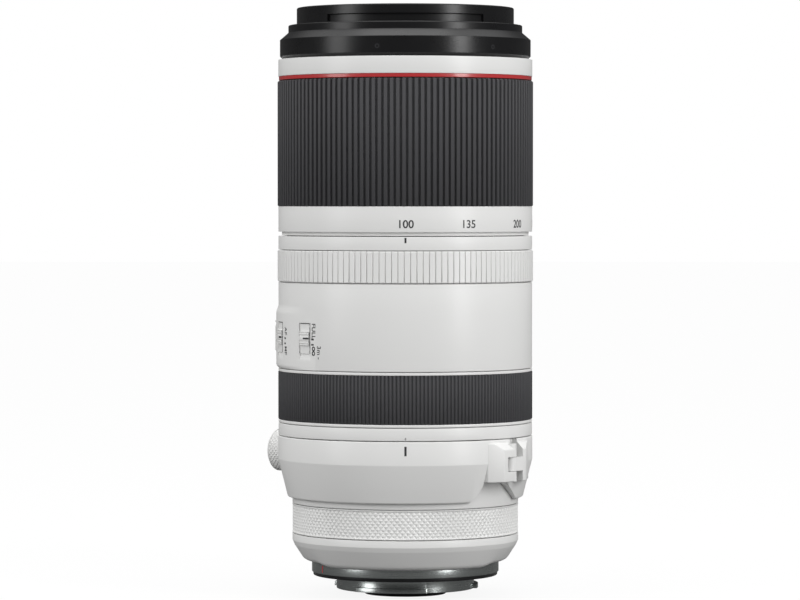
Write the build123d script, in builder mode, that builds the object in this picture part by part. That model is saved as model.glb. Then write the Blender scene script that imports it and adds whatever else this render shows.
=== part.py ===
from build123d import *

import os
from math import asin, cos, degrees, pi, radians, sin, sqrt

# A telephoto zoom lens, in millimetres. The origin is the centre of the mount's rear
# face, heights run forward along the optical axis, and radii run out from it.
# A bearing is an angle in degrees round the axis, from the scale side, which faces -Y,
# towards +X.

# Running gaps and cuts
play = 0.3
pin_play = 0.05
slide_play = 0.1
cam_play = 0.2
overrun = 2.0

# Stack of the outside, from the mount forward
flange_thickness = 4.1
cover_height = 10.2
control_height = 10.7
strip_height = 2.1
collar_height = 22.6
band_height = 4.5
focus_height = 19.7
body_height = 31.4
tension_height = 11.5
index_height = 4.9
zoom_spigot_height = 1.3
zoom_band_height = 9.3
zoom_grip_height = 46.0
accent_height = 1.4
name_height = 6.2
front_body_height = 7.2
front_cone_height = 2.7
hood_seat_height = 2.7
hood_groove_height = 2.9
rim_height = 3.5

# Outside radius of the barrel, and the steps in from it and out
barrel_r = 46.8
rear_step = 5.1
filter_shoulder = 1.6
rim_wall = 1.9
hood_step = 3.1
hood_groove_depth = 1.1
thread_length = 5.0
thread_shoulder = 0.9
front_step = 0.6
accent_step = 0.2
zoom_gap_depth = 1.3

# Walls of the barrel's rings and tubes, from the outside in
ring_wall = 1.6
neck_wall = 1.0
cam_wall = 0.9
guide_wall = 1.0
extension_wall = 1.4

# Rubber grips and the grooved tension ring
grip_stand = 0.3
grip_thickness = 1.8
focus_grip_thickness = 1.0
rib_depth = 0.7
fine_rib_depth = 0.45
tension_groove_depth = 0.5
zoom_rib_pitch = 2.31
focus_rib_pitch = 1.445
tension_groove_pitch = 2.39
crest_share = 0.62
groove_half_deg = 45
focus_lip = 1.0
zoom_lip_height = 1.8

# Zoom mechanism
zoom_turn_deg = 120
follower_bearings = (60, 180, 300)
follower_r = 2.4
follower_spacing = 14.0
follower_lift = 8.0
follower_edge = 5.0
slot_margin = 1.0
guide_land = 5.9
guide_flange_height = 3.0
guide_seat_height = 5.7
neck_spigot = 2.1
carrier_travel = 40.0
carrier_skirt = 12.0
carrier_room = 9.7
carrier_wall = 1.5
carrier_length = 62.0
carrier_floor = 3.0
key_width = 3.0
key_setback = 4.0

# Front optics
cell_wall = 3.7
element_edge = 3.5
element_bulge = 4.0
element_hollow = 2.0
doublet_step = 2.0
doublet_front_edge = 8.0
doublet_rear_edge = 6.0
doublet_bulge = 3.5
cell_lip = 1.5
cell_lip_height = 2.0
retainer_height = 3.0
retainer_width = 1.6
lens_rim = 1.8
cap_shares = (1, 0.75, 0.4, 0)
retainer_notches = 4
notch_width = 2.0
element_setback = 7.0
cell_setback = 3.4

# Zoom group optics, stabiliser and diaphragm, measured up the carrier
variator_edges = (4.0, 7.0)
variator_gap = 4.0
variator_sag = 2.2
variator_setback = 20.0
shelf_height = 2.0
shelf_drop = 24.0
guide_frame_gap = 2.5
guide_frame_width = 7.5
guide_frame_height = 1.6
moving_frame_step = 1.0
moving_frame_width = 9.0
moving_frame_height = 6.0
stabiliser_lens_edge = 3.6
stabiliser_sag = 1.2
rail_key = 1.4
coil_width = 7.0
coil_length = 12.0
coil_bearings = (0, 90)
iris_lift = 10.0
iris_height = 1.6
iris_step = 1.0
iris_cap = 1.0
blade_count = 9
blade_thickness = 0.25
blade_width = 7.0

# Focus unit in the rear barrel
rail_r = 1.5
rail_inset = 6.3
rail_length = 38.0
carriage_inset = 4.5
carriage_height = 9.0
carriage_lift = 6.0
carriage_boss_r = 3.4
carriage_boss_height = 16.0
focus_lens_inset = 6.0
focus_lens_edge = 3.0
focus_lens_sag = 3.2
focus_seat_height = 1.5
focus_seat_lip = 1.5
bridge_height = 2.0
bridge_width = 13.8
motor_width = 9.0
motor_depth = 5.0
motor_length = 26.0
motor_bearing = 135
motor_foot = 1.6
board_thickness = 1.4
board_width = 9.5
board_gap = 0.5

# Mount
flange_step = 7.2
gasket_inset = 0.5
gasket_width = 1.1
gasket_seat = 1.0
gasket_stand = 1.2
flange_face_width = 9.3
bayonet_wall = 1.8
bayonet_depth = 6.2
lug_stand = 1.5
lug_drop = 4.4
lug_height = 1.6
lug_count = 3
lug_arc = 60
lug_bearing = -13
floor_hole_step = 2.6
floor_height = 4.0
floor_step = 3.4
rear_neck_wall = 2.0
contact_end_share = 1.5
contact_width = 3.0
contact_drop = 5.2
contact_count = 12
contact_pitch = 2.16
contact_pin_r = 0.75
contact_pin_stand = 0.35
contact_pin_sides = 6
contact_bearing = 180
baffle_inset = 7.6
baffle_drop = 8.3
baffle_wall = 1.4
baffle_flare = 4.0
baffle_flange = 1.2
baffle_chamfer = 1.2
rear_lens_edge = 3.0
rear_lens_sag = 2.0
rear_lens_setback = 2.0

# Rear cover
cover_wall_height = 3.0
cover_cone_step = 2.0
cover_cone_drop = 0.7
cover_lip_arc = 96
cover_lip_ramp = 12
cover_ramp_steps = 4
cover_lip_drop = 1.1
cover_lip_gap = 0.2

# Tripod collar
collar_wall = 4.9
collar_taper = 14.0
collar_foot_wall = 1.4
collar_round = 1.0
ridge_height = 4.0
ridge_stand = 1.7
ridge_lift = 8.3
hinge_bearing = 54
hinge_stand = 2.4
hinge_half_width = 6.8
hinge_left_bearing = 39.3
hinge_right_bearing = 74
hinge_low = 7.3
hinge_high = 21.4
hinge_bevel = 2.4
knuckle_r = 2.2
knuckle_notch = 4.7
knuckle_low = 11.1
knuckle_high = 16.1
knuckle_play = 0.15
hinge_pin_r = 1.2
hinge_pin_inset = 0.4
skirt_gap_bearing = 38.7
skirt_slant_deg = 14.5

# Clamp of the collar
clamp_pad_stand = 0.1
clamp_low = 7.7
clamp_height = 14.0
clamp_pad_length = 12.0
clamp_root_top = 3.0
clamp_root_deg = 16
clamp_pad_deg = 20
tongue_thickness = 4.0
tongue_length = 9.5
tongue_slot_play = 0.3
clamp_gap = 0.55
lock_offset = 4.35
lock_screw_r = 2.4
lock_screw_inset = 3.2
lock_washer_r = 6.5
lock_washer_height = 1.2
lock_knob_r = 8.0
lock_knob_length = 8.8
lock_knob_round = 1.0
lock_dimple_r = 4.5
lock_dimple = 0.8

# Tripod foot, reaching out along +Y
foot_width = 27.0
foot_reach = 31.1
foot_plate = 8.0
foot_front = 88.0
foot_rear = 13.0
foot_edge = 2.0
foot_hole_height = 50.0
insert_r = 5.0
tripod_thread_r = 2.55
insert_depth = 9.0
stop_hole_r = 2.1
stop_hole_depth = 5.0
stop_hole_spacing = 14.0

# Switch panel
panel_from = -142
panel_to = -44
panel_height = 21.9
panel_bulge = 0.85
panel_bulge_half = 43
panel_ramp = 1.5
panel_floor_wall = 1.3
switch_pitch_deg = 23.6
switch_bearing = -51
switch_height = 11.5
slot_width = 6.2
slot_length = 11.2
slot_wall = 0.8
switch_plate_margin = 1.2
switch_knob_height = 5.1
switch_stand = 0.45
switch_travel = 2.0
switch_steps = (1, 1, 1, 2)
switch_grooves = 4
switch_groove = 0.35
scoop_length = 2.0
scoop_depth = 0.7

# Brake of the tension ring
brake_bearings = (0, 120, 240)
brake_arc = 24
brake_height = 6.0
brake_gap = 0.15

# Heights that follow from the stack
cover_top = flange_thickness + cover_height
control_low = cover_top + play
control_top = control_low + control_height
strip_low = control_top + play
collar_low = strip_low + strip_height
collar_top = collar_low + collar_height
band_low = collar_top + play
band_top = band_low + band_height
focus_low = band_top + play
focus_top = focus_low + focus_height
body_low = focus_top + play
body_top = body_low + body_height
tension_low = body_top + play
tension_top = tension_low + tension_height
index_low = tension_top + play
index_top = index_low + index_height
zoom_low = index_top + play
zoom_band_low = zoom_low + zoom_spigot_height
grip_low = zoom_band_low + zoom_band_height
grip_top = grip_low + zoom_grip_height
front_low = grip_top + play
name_low = front_low + accent_height
front_ring_low = name_low + name_height
front_cone_low = front_ring_low + front_body_height
hood_low = front_cone_low + front_cone_height
hood_top = hood_low + hood_seat_height
rim_low = hood_top + hood_groove_height
rim_top = rim_low + rim_height

# Radii that follow from the barrel's and the walls
rear_r = barrel_r - rear_step
ring_bore = barrel_r - ring_wall
neck_r = ring_bore - play
barrel_bore = neck_r - neck_wall
cam_r = barrel_bore - play
cam_bore = cam_r - cam_wall
guide_r = cam_bore - play
guide_bore = guide_r - guide_wall
extension_r = guide_bore - play
extension_bore = extension_r - extension_wall
rear_neck_r = rear_r - ring_wall - play
rear_bore = rear_neck_r - rear_neck_wall
flange_r = rear_r - flange_step
rear_heel_r = flange_r + rear_neck_wall
front_r = barrel_r - front_step
filter_r = extension_bore - filter_shoulder
rim_r = filter_r + rim_wall
hood_r = rim_r + hood_step
zoom_grip_r = barrel_r + grip_stand
zoom_core_r = zoom_grip_r - grip_thickness
focus_grip_r = barrel_r + slide_play
focus_core_r = focus_grip_r - focus_grip_thickness
element_r = extension_bore - cell_wall
doublet_r = element_r - doublet_step
carrier_r = extension_bore - carrier_room
carrier_bore = carrier_r - carrier_wall
guide_frame_r = carrier_bore - guide_frame_gap
guide_frame_inner = guide_frame_r - guide_frame_width
moving_frame_r = guide_frame_r - moving_frame_step
stabiliser_lens_r = moving_frame_r - moving_frame_width
iris_r = stabiliser_lens_r + iris_step
rail_circle_r = rear_bore - rail_inset
carriage_r = rail_circle_r - carriage_inset
focus_lens_r = carriage_r - focus_lens_inset
gasket_r = flange_r - gasket_inset
flange_face_r = gasket_r - gasket_width
throat_r = flange_face_r - flange_face_width
bayonet_r = throat_r + bayonet_wall
floor_hole_r = throat_r + floor_hole_step
contact_r = throat_r - contact_width
contact_middle_r = (throat_r + contact_r) / 2
baffle_r = throat_r - baffle_inset
baffle_flare_r = baffle_r + baffle_flare
cover_cone_r = flange_r + cover_cone_step
collar_bore = rear_r + play
collar_r = collar_bore + collar_wall
collar_foot_r = collar_bore + collar_foot_wall
hinge_face = collar_r + hinge_stand
clamp_pad = collar_r + clamp_pad_stand
foot_face = collar_r + foot_reach

# Ribs and contacts, as many as their pitch gives
zoom_ribs = round(2 * pi * zoom_grip_r / zoom_rib_pitch)
focus_ribs = round(2 * pi * focus_grip_r / focus_rib_pitch)
tension_grooves = round(2 * pi * zoom_grip_r / tension_groove_pitch)
contact_pitch_deg = degrees(contact_pitch / contact_middle_r)
contact_arc = contact_pitch_deg * (contact_count + contact_end_share)

# Heights inside the barrel
neck_low = band_top - neck_spigot
guide_low = neck_low + guide_seat_height
guide_floor = guide_low + guide_flange_height
cam_low = guide_floor + play
cam_top = grip_top - zoom_lip_height
guide_top = cam_top - 2 * play
carrier_pin_height = cam_low + follower_lift
front_pin_height = carrier_pin_height + follower_spacing
slot_top = guide_top - guide_land
slot_low = carrier_pin_height - follower_r - slot_margin
zoom_travel = slot_top - slot_margin - follower_r - front_pin_height
extension_low = front_pin_height - follower_edge
extension_top = hood_low - front_cone_height
carrier_low = carrier_pin_height - carrier_skirt / 2
carrier_top = carrier_low + carrier_length
floor_top = flange_thickness + floor_height
chamber_floor = floor_top + floor_step


def polar(radius, bearing):
    """The point of the plan at this radius and bearing."""
    angle = radians(bearing)
    return (radius * sin(angle), -radius * cos(angle))


def facing(bearing, radius, height):
    """A plane that faces outwards, with its x round the axis and its y forward."""
    angle = radians(bearing)
    east, north = polar(radius, bearing)
    return Plane(
        origin=(east, north, height),
        x_dir=(cos(angle), sin(angle), 0),
        z_dir=(sin(angle), -cos(angle), 0),
    )


def upright(bearing):
    """A plane through the axis, with its x outwards and its y forward."""
    angle = radians(bearing)
    return Plane(
        origin=(0, 0, 0),
        x_dir=(sin(angle), -cos(angle), 0),
        z_dir=(-cos(angle), -sin(angle), 0),
    )


def level(bearing, height):
    """A plane at this height, with its x outwards and its y round the axis."""
    angle = radians(bearing)
    return Plane(origin=(0, 0, height), x_dir=(sin(angle), -cos(angle), 0))


def turned(*outline, mode=Mode.ADD):
    """Turn a closed outline of (radius, height) points about the axis."""
    with BuildSketch(Plane.XZ) as section:
        with BuildLine():
            Polyline(*outline, close=True)
        make_face()
    revolve(section.sketch, axis=Axis.Z, mode=mode)


def ring(outer, inner, low, high, mode=Mode.ADD):
    """A plain ring between two heights."""
    turned((inner, low), (outer, low), (outer, high), (inner, high), mode=mode)


def sector(outer, inner, start, end, low, high, mode=Mode.ADD):
    """A piece of a ring between two bearings."""
    with BuildSketch(Plane.XY.offset(low)) as plan:
        with BuildLine():
            far = CenterArc((0, 0), outer, start - 90, end - start)
            near = CenterArc((0, 0), inner, start - 90, end - start)
            Line(far @ 0, near @ 0)
            Line(far @ 1, near @ 1)
        make_face()
    extrude(plan.sketch, amount=high - low, mode=mode)


def prism(plane, *corners, amount, both=False, mode=Mode.ADD):
    """A straight prism on a plane, from the corners of its outline."""
    with BuildSketch(plane) as section:
        with BuildLine():
            Polyline(*corners, close=True)
        make_face()
    extrude(section.sketch, amount=amount, both=both, mode=mode)


def peg(plane, radius, amount, both=False, mode=Mode.ADD):
    """A round peg standing on a plane, or a round hole."""
    with BuildSketch(plane) as section:
        Circle(radius)
    extrude(section.sketch, amount=amount, both=both, mode=mode)


def ribbed(tip, root, count, crest, low, high, mode=Mode.ADD):
    """A bar with ribs round it. Crest is the share of each rib that stays round."""
    step = 360 / count
    corners = []
    for rib in range(count):
        middle = rib * step
        corners.append(polar(tip, middle - step * crest / 2))
        if crest > 0:
            corners.append(polar(tip, middle + step * crest / 2))
        corners.append(polar(root, middle + step / 2))
    prism(Plane.XY.offset(low), *corners, amount=high - low, mode=mode)


def cap(radius, height, sag):
    """Points on a shallow spherical face that rises by sag, from its rim to the axis."""
    ball = (radius**2 + sag**2) / (2 * sag)
    points = []
    for share in cap_shares:
        drop = abs(ball) - sqrt(ball**2 - (share * radius) ** 2)
        points.append((share * radius, height + sag - (drop if sag > 0 else -drop)))
    return points


def glass(radius, low, edge, front_sag, rear_sag):
    """A lens element. A sag is how far its face rises, forward, from rim to axis."""
    high = low + edge
    clear_r = radius - lens_rim
    rear = cap(clear_r, low, rear_sag)
    front = cap(clear_r, high, front_sag)
    turned((radius, high), *front, *reversed(rear), (radius, low))


def save(part, name):
    """Label a finished piece and write it."""
    part.label = name
    export_step(part, f"parts/{name}.step")


os.makedirs("parts", exist_ok=True)

# Front ring, with the filter thread, the hood's seat and its bayonet groove
groove_r = rim_r - hood_groove_depth
with BuildPart() as front_ring:
    turned(
        (extension_r, front_ring_low),
        (front_r - front_step / 2, front_ring_low),
        (front_r, front_ring_low + front_step),
        (front_r, front_cone_low),
        (hood_r, hood_low),
        (hood_r, hood_top),
        (rim_r, hood_top),
        (rim_r, rim_top - front_step),
        (rim_r - front_step / 2, rim_top),
        (filter_r, rim_top),
        (filter_r, rim_top - thread_length),
        (filter_r - thread_shoulder, rim_top - thread_length),
        (filter_r - thread_shoulder, extension_top),
        (extension_r, extension_top),
    )
    for middle in (0, 180):
        sector(
            rim_r + overrun,
            groove_r,
            middle - groove_half_deg,
            middle + groove_half_deg,
            hood_top,
            rim_low,
            mode=Mode.SUBTRACT,
        )
save(front_ring.part, "front_ring")

# White band and red stripe behind the front ring
with BuildPart() as name_band:
    ring(barrel_r, extension_r, name_low, front_ring_low)
save(name_band.part, "name_band")

with BuildPart() as accent_ring:
    ring(barrel_r - accent_step, extension_r, front_low, name_low)
save(accent_ring.part, "accent_ring")

# Extension tube, which carries the front of the lens out of the zoom ring
with BuildPart() as extension_tube:
    ring(extension_r, extension_bore, extension_low, extension_top)
    for bearing in follower_bearings:
        peg(
            facing(bearing, extension_r, front_pin_height),
            follower_r,
            amount=extension_wall + overrun,
            both=True,
            mode=Mode.SUBTRACT,
        )
save(extension_tube.part, "extension_tube")


def follower(bearing, height):
    """A follower, standing out through the guide slot into the cam slot."""
    length = cam_r - play - extension_bore
    peg(facing(bearing, extension_bore, height), follower_r, amount=length)


with BuildPart() as front_followers:
    for bearing in follower_bearings:
        follower(bearing, front_pin_height)
save(front_followers.part, "front_followers")

# Front optics in their cell
element_low = hood_low - element_setback - cell_setback / 2
doublet_top = element_low - cell_setback
doublet_middle = doublet_top - doublet_front_edge
doublet_low = doublet_middle - doublet_rear_edge
cell_low = doublet_low - cell_lip_height
with BuildPart() as front_cell:
    turned(
        (doublet_r - cell_lip, cell_low),
        (extension_bore, cell_low),
        (extension_bore, extension_top),
        (element_r, extension_top),
        (element_r, element_low),
        (doublet_r, element_low),
        (doublet_r, doublet_low),
        (doublet_r - cell_lip, doublet_low),
    )
save(front_cell.part, "front_cell")

with BuildPart() as front_element:
    glass(element_r, element_low, element_edge, element_bulge, element_hollow)
save(front_element.part, "front_element")

with BuildPart() as second_element:
    glass(doublet_r, doublet_middle, doublet_front_edge, element_hollow, -doublet_bulge)
save(second_element.part, "second_element")

with BuildPart() as third_element:
    glass(doublet_r, doublet_low, doublet_rear_edge, -doublet_bulge, element_hollow)
save(third_element.part, "third_element")


def retaining_ring(radius, low, height):
    """A thin screw ring with notches for its wrench."""
    ring(radius, radius - retainer_width, low, low + height)
    for notch in range(retainer_notches):
        bearing = notch * 360 / retainer_notches
        with BuildSketch(level(bearing, low + height / 2)) as slot:
            with Locations((radius - retainer_width / 2, 0)):
                Rectangle(2 * retainer_width, notch_width)
        extrude(slot.sketch, amount=height, mode=Mode.SUBTRACT)


with BuildPart() as front_retainer:
    retaining_ring(element_r, element_low + element_edge, retainer_height)
save(front_retainer.part, "front_retainer")

with BuildPart() as doublet_retainer:
    retaining_ring(doublet_r, doublet_top, retainer_height / 2)
save(doublet_retainer.part, "doublet_retainer")


def key(bearing, inner, outer, mode=Mode.ADD):
    """A square key, or its hole, through the zoom ring."""
    with BuildSketch(facing(bearing, inner, grip_low + key_setback)) as section:
        Rectangle(key_width, key_width)
    extrude(section.sketch, amount=outer - inner, mode=mode)


# Zoom ring, its rubber, and the keys that join it to the cam tube
with BuildPart() as zoom_ring:
    turned(
        (cam_r, zoom_low),
        (barrel_r - zoom_gap_depth, zoom_low),
        (barrel_r - zoom_gap_depth, zoom_band_low),
        (barrel_r, zoom_band_low),
        (barrel_r, grip_low),
        (zoom_core_r, grip_low),
        (zoom_core_r, grip_top),
        (extension_r + play, grip_top),
        (extension_r + play, cam_top),
        (cam_r, cam_top),
    )
    for bearing in follower_bearings:
        key(bearing, cam_r - overrun, barrel_r, mode=Mode.SUBTRACT)
save(zoom_ring.part, "zoom_ring")

with BuildPart() as zoom_grip:
    ribbed(zoom_grip_r, zoom_grip_r - rib_depth, zoom_ribs, crest_share, grip_low, grip_top)
    ring(zoom_core_r, 0, grip_low, grip_top, mode=Mode.SUBTRACT)
save(zoom_grip.part, "zoom_grip")


def cam_slot(bearing, low, rise):
    """Cut a helical slot for a follower that climbs by rise over the zoom ring's turn."""
    middle = (cam_r + cam_bore) / 2
    half = follower_r + cam_play
    run = middle * radians(zoom_turn_deg)
    extra = half / sqrt(run**2 + rise**2)
    path = Helix(
        pitch=rise * 360 / zoom_turn_deg,
        height=rise * (1 + 2 * extra),
        radius=middle,
        center=(0, 0, low - rise * extra),
        mode=Mode.PRIVATE,
    ).rotate(Axis.Z, bearing - 90 - zoom_turn_deg * extra)
    start = path @ 0
    with BuildSketch(
        Plane(origin=start, x_dir=(start.X, start.Y, 0), z_dir=path % 0)
    ) as section:
        Rectangle(overrun, 2 * half)
    sweep(section.sketch, path=path, is_frenet=True, mode=Mode.SUBTRACT)


# Cam tube: one set of helical slots drives the front, the other the zoom group
with BuildPart() as cam_tube:
    ring(cam_r, cam_bore, cam_low, cam_top)
    for bearing in follower_bearings:
        cam_slot(bearing, front_pin_height, zoom_travel)
        cam_slot(bearing, carrier_pin_height, carrier_travel)
save(cam_tube.part, "cam_tube")

with BuildPart() as zoom_keys:
    for bearing in follower_bearings:
        key(bearing, cam_r, zoom_core_r - slide_play)
save(zoom_keys.part, "zoom_keys")

# Guide tube, fixed to the barrel: its straight slots stop the followers turning
with BuildPart() as guide_tube:
    turned(
        (guide_bore, guide_low),
        (barrel_bore, guide_low),
        (barrel_bore, guide_floor),
        (guide_r, guide_floor),
        (guide_r, guide_top),
        (guide_bore, guide_top),
    )
    for bearing in follower_bearings:
        half = follower_r + pin_play
        with BuildSketch(facing(bearing, guide_bore, (slot_low + slot_top) / 2)) as slot:
            SlotOverall(slot_top - slot_low, 2 * half, rotation=90)
        extrude(slot.sketch, amount=overrun, both=True, mode=Mode.SUBTRACT)
save(guide_tube.part, "guide_tube")

# Index band, on the front neck of the main barrel
with BuildPart() as index_band:
    ring(barrel_r, barrel_bore, index_low, index_top)
save(index_band.part, "index_band")

# Brake pads, through windows in the front neck, under the tension ring
brake_middle = (tension_low + tension_top) / 2
brake_low = brake_middle - brake_height / 2
brake_high = brake_middle + brake_height / 2


def brake_windows(outer, inner, mode):
    """The three arcs of the brake."""
    for bearing in brake_bearings:
        sector(
            outer,
            inner,
            bearing - brake_arc / 2,
            bearing + brake_arc / 2,
            brake_low,
            brake_high,
            mode=mode,
        )


with BuildPart() as brake_pads:
    brake_windows(neck_r + brake_gap, cam_r + brake_gap, Mode.ADD)
save(brake_pads.part, "brake_pads")

# Main barrel, with a neck at each end and a pocket for the switch panel
panel_inner_r = barrel_bore + panel_floor_wall
panel_low = body_low
panel_top = panel_low + panel_height
with BuildPart() as main_barrel:
    turned(
        (barrel_bore, neck_low),
        (neck_r, neck_low),
        (neck_r, body_low),
        (barrel_r, body_low),
        (barrel_r, body_top),
        (neck_r, body_top),
        (neck_r, index_low),
        (barrel_bore, index_low),
    )
    sector(
        barrel_r + overrun,
        panel_inner_r,
        panel_from,
        panel_to,
        panel_low,
        panel_top,
        mode=Mode.SUBTRACT,
    )
    brake_windows(neck_r + overrun, barrel_bore - overrun / 4, Mode.SUBTRACT)
save(main_barrel.part, "main_barrel")

# Switch panel, a plate that swells a little out of the barrel
panel_middle = (panel_from + panel_to) / 2
bulge_shift = panel_bulge / (1 - cos(radians(panel_bulge_half)))
bulge_r = barrel_r + panel_bulge - bulge_shift
switch_bearings = [switch_bearing - place * switch_pitch_deg for place in range(4)]
switch_middle = panel_low + switch_height
slot_high = switch_middle + slot_length / 2
cavity_r = panel_inner_r + slot_wall
plate_length = switch_knob_height + 2 * switch_plate_margin


def panel_radius(bearing):
    """The radius of the panel's skin at a bearing."""
    off = radians(bearing - panel_middle)
    swell = bulge_shift * cos(off) + sqrt(bulge_r**2 - (bulge_shift * sin(off)) ** 2)
    return max(barrel_r, swell)


def half_angle(width, radius):
    """Half of the angle that a width takes at a radius."""
    return degrees(asin(width / 2 / radius))


def switch_cavity(bearing, steps):
    """Cut a slot, the room for the slider's plate under it, and the finger scoop."""
    outer = panel_radius(bearing)
    half = half_angle(slot_width, outer)
    room = half_angle(slot_width + 2 * switch_plate_margin, outer)
    low = slot_high - slot_length - (steps - 1) * switch_travel
    sector(
        outer + overrun,
        panel_inner_r,
        bearing - half,
        bearing + half,
        low,
        slot_high,
        mode=Mode.SUBTRACT,
    )
    sector(
        cavity_r,
        panel_inner_r,
        bearing - room,
        bearing + room,
        low - switch_plate_margin,
        slot_high + switch_plate_margin,
        mode=Mode.SUBTRACT,
    )
    prism(
        upright(bearing),
        (outer - scoop_depth, low),
        (outer + scoop_depth, low - 2 * scoop_length),
        (outer + scoop_depth, low),
        amount=slot_width / 2 - switch_groove,
        both=True,
        mode=Mode.SUBTRACT,
    )


with BuildPart() as switch_panel:
    with BuildSketch(Plane.XY.offset(panel_low)):
        Circle(barrel_r)
        with Locations(polar(bulge_shift, panel_middle)):
            Circle(bulge_r)
    extrude(amount=panel_height)
    sector(
        barrel_r + overrun,
        panel_inner_r,
        panel_from,
        panel_to,
        panel_low,
        panel_top,
        mode=Mode.INTERSECT,
    )
    with BuildSketch(Plane.XZ) as envelope:
        with BuildLine():
            Polyline(
                (0, panel_low),
                (barrel_r, panel_low),
                (barrel_r + panel_bulge, panel_low + panel_bulge),
                (barrel_r + panel_bulge, panel_top - panel_ramp),
                (barrel_r, panel_top),
                (0, panel_top),
                close=True,
            )
        make_face()
    revolve(envelope.sketch, axis=Axis.Z, mode=Mode.INTERSECT)
    for bearing, steps in zip(switch_bearings, switch_steps):
        switch_cavity(bearing, steps)
save(switch_panel.part, "switch_panel")


def slider(bearing):
    """A switch: a plate kept under the panel and a grooved knob in the slot."""
    outer = panel_radius(bearing)
    top = outer + switch_stand
    half = half_angle(slot_width - 2 * slide_play, outer)
    room = half_angle(slot_width + switch_plate_margin, outer)
    low = switch_middle - switch_knob_height / 2
    high = switch_middle + switch_knob_height / 2
    sector(
        cavity_r - slide_play,
        panel_inner_r + slide_play,
        bearing - room,
        bearing + room,
        switch_middle - plate_length / 2,
        switch_middle + plate_length / 2,
    )
    sector(top, panel_inner_r + slide_play, bearing - half, bearing + half, low, high)
    pitch = switch_knob_height / (switch_grooves + 1)
    for groove in range(switch_grooves):
        middle = low + pitch * (groove + 1)
        sector(
            top + overrun,
            top - switch_groove,
            bearing - 2 * half,
            bearing + 2 * half,
            middle - switch_groove / 2,
            middle + switch_groove / 2,
            mode=Mode.SUBTRACT,
        )


with BuildPart() as limiter_switch:
    slider(switch_bearings[0])
save(limiter_switch.part, "limiter_switch")

with BuildPart() as focus_mode_switch:
    slider(switch_bearings[1])
save(focus_mode_switch.part, "focus_mode_switch")

with BuildPart() as stabiliser_switch:
    slider(switch_bearings[2])
save(stabiliser_switch.part, "stabiliser_switch")

with BuildPart() as stabiliser_mode_switch:
    slider(switch_bearings[3])
save(stabiliser_mode_switch.part, "stabiliser_mode_switch")

# Tension ring, which squeezes the brake pads on to the cam tube
with BuildPart() as tension_ring:
    ribbed(
        zoom_grip_r,
        zoom_grip_r - tension_groove_depth,
        tension_grooves,
        0,
        tension_low,
        tension_top,
    )
    ring(ring_bore, 0, tension_low, tension_top, mode=Mode.SUBTRACT)
save(tension_ring.part, "tension_ring")

# Focus ring, on the rear neck of the main barrel
with BuildPart() as focus_ring:
    turned(
        (ring_bore, focus_low),
        (barrel_r, focus_low),
        (barrel_r, focus_low + focus_lip),
        (focus_core_r, focus_low + focus_lip),
        (focus_core_r, focus_top - focus_lip),
        (barrel_r, focus_top - focus_lip),
        (barrel_r, focus_top),
        (ring_bore, focus_top),
    )
save(focus_ring.part, "focus_ring")

with BuildPart() as focus_grip:
    ribbed(
        focus_grip_r,
        focus_grip_r - fine_rib_depth,
        focus_ribs,
        0,
        focus_low + focus_lip,
        focus_top - focus_lip,
    )
    ring(focus_core_r, 0, focus_low + focus_lip, focus_top - focus_lip, mode=Mode.SUBTRACT)
save(focus_grip.part, "focus_grip")

# Rear barrel: seat of the collar with its ridge, neck of the control ring, floor
ridge_low = collar_low + ridge_lift
ridge_top = ridge_low + ridge_height
with BuildPart() as rear_barrel:
    turned(
        (floor_hole_r, flange_thickness),
        (flange_r, flange_thickness),
        (flange_r, floor_top),
        (rear_heel_r, floor_top),
        (rear_neck_r, cover_top - cover_wall_height),
        (rear_neck_r, strip_low),
        (rear_r, strip_low),
        (rear_r, ridge_low),
        (rear_r + ridge_stand, ridge_low),
        (rear_r + ridge_stand, ridge_top),
        (rear_r, ridge_top),
        (rear_r, band_low),
        (rear_bore, band_low),
        (rear_bore, chamber_floor),
        (floor_hole_r, chamber_floor),
    )
save(rear_barrel.part, "rear_barrel")

# Band in front of the collar, which holds the main barrel's spigot
with BuildPart() as rear_band:
    turned(
        (rear_bore, band_low),
        (barrel_r, band_low),
        (barrel_r, band_top),
        (neck_r, band_top),
        (neck_r, neck_low),
        (rear_bore, neck_low),
    )
save(rear_band.part, "rear_band")

# Control ring, between the rear barrel and the rear cover
with BuildPart() as control_ring:
    ring(rear_r, rear_neck_r + play, control_low, control_top)
save(control_ring.part, "control_ring")

# Rear cover, with the lip that reaches down over the flange on the scale side
cover_low = flange_thickness
cover_bore = flange_r + cover_lip_gap
with BuildPart() as rear_cover:
    turned(
        (flange_r, cover_low),
        (cover_cone_r - cover_cone_drop, cover_low),
        (cover_cone_r, cover_low + cover_cone_drop),
        (rear_r, cover_top - cover_wall_height),
        (rear_r, cover_top),
        (rear_neck_r, cover_top),
        (rear_neck_r, cover_top - cover_wall_height),
        (rear_heel_r, floor_top),
        (flange_r, floor_top),
    )
    lip_half = cover_lip_arc / 2
    lip_outer = cover_cone_r - cover_cone_drop
    sector(lip_outer, cover_bore, -lip_half, lip_half, cover_low - cover_lip_drop, cover_low)
    for side in (-1, 1):
        for step in range(cover_ramp_steps):
            drop = cover_lip_drop * (1 - (step + 1) / (cover_ramp_steps + 1))
            near = side * (lip_half + step * cover_lip_ramp / cover_ramp_steps)
            far = side * (lip_half + (step + 1) * cover_lip_ramp / cover_ramp_steps)
            sector(lip_outer, cover_bore, near, far, cover_low - drop, cover_low)
save(rear_cover.part, "rear_cover")

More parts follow.
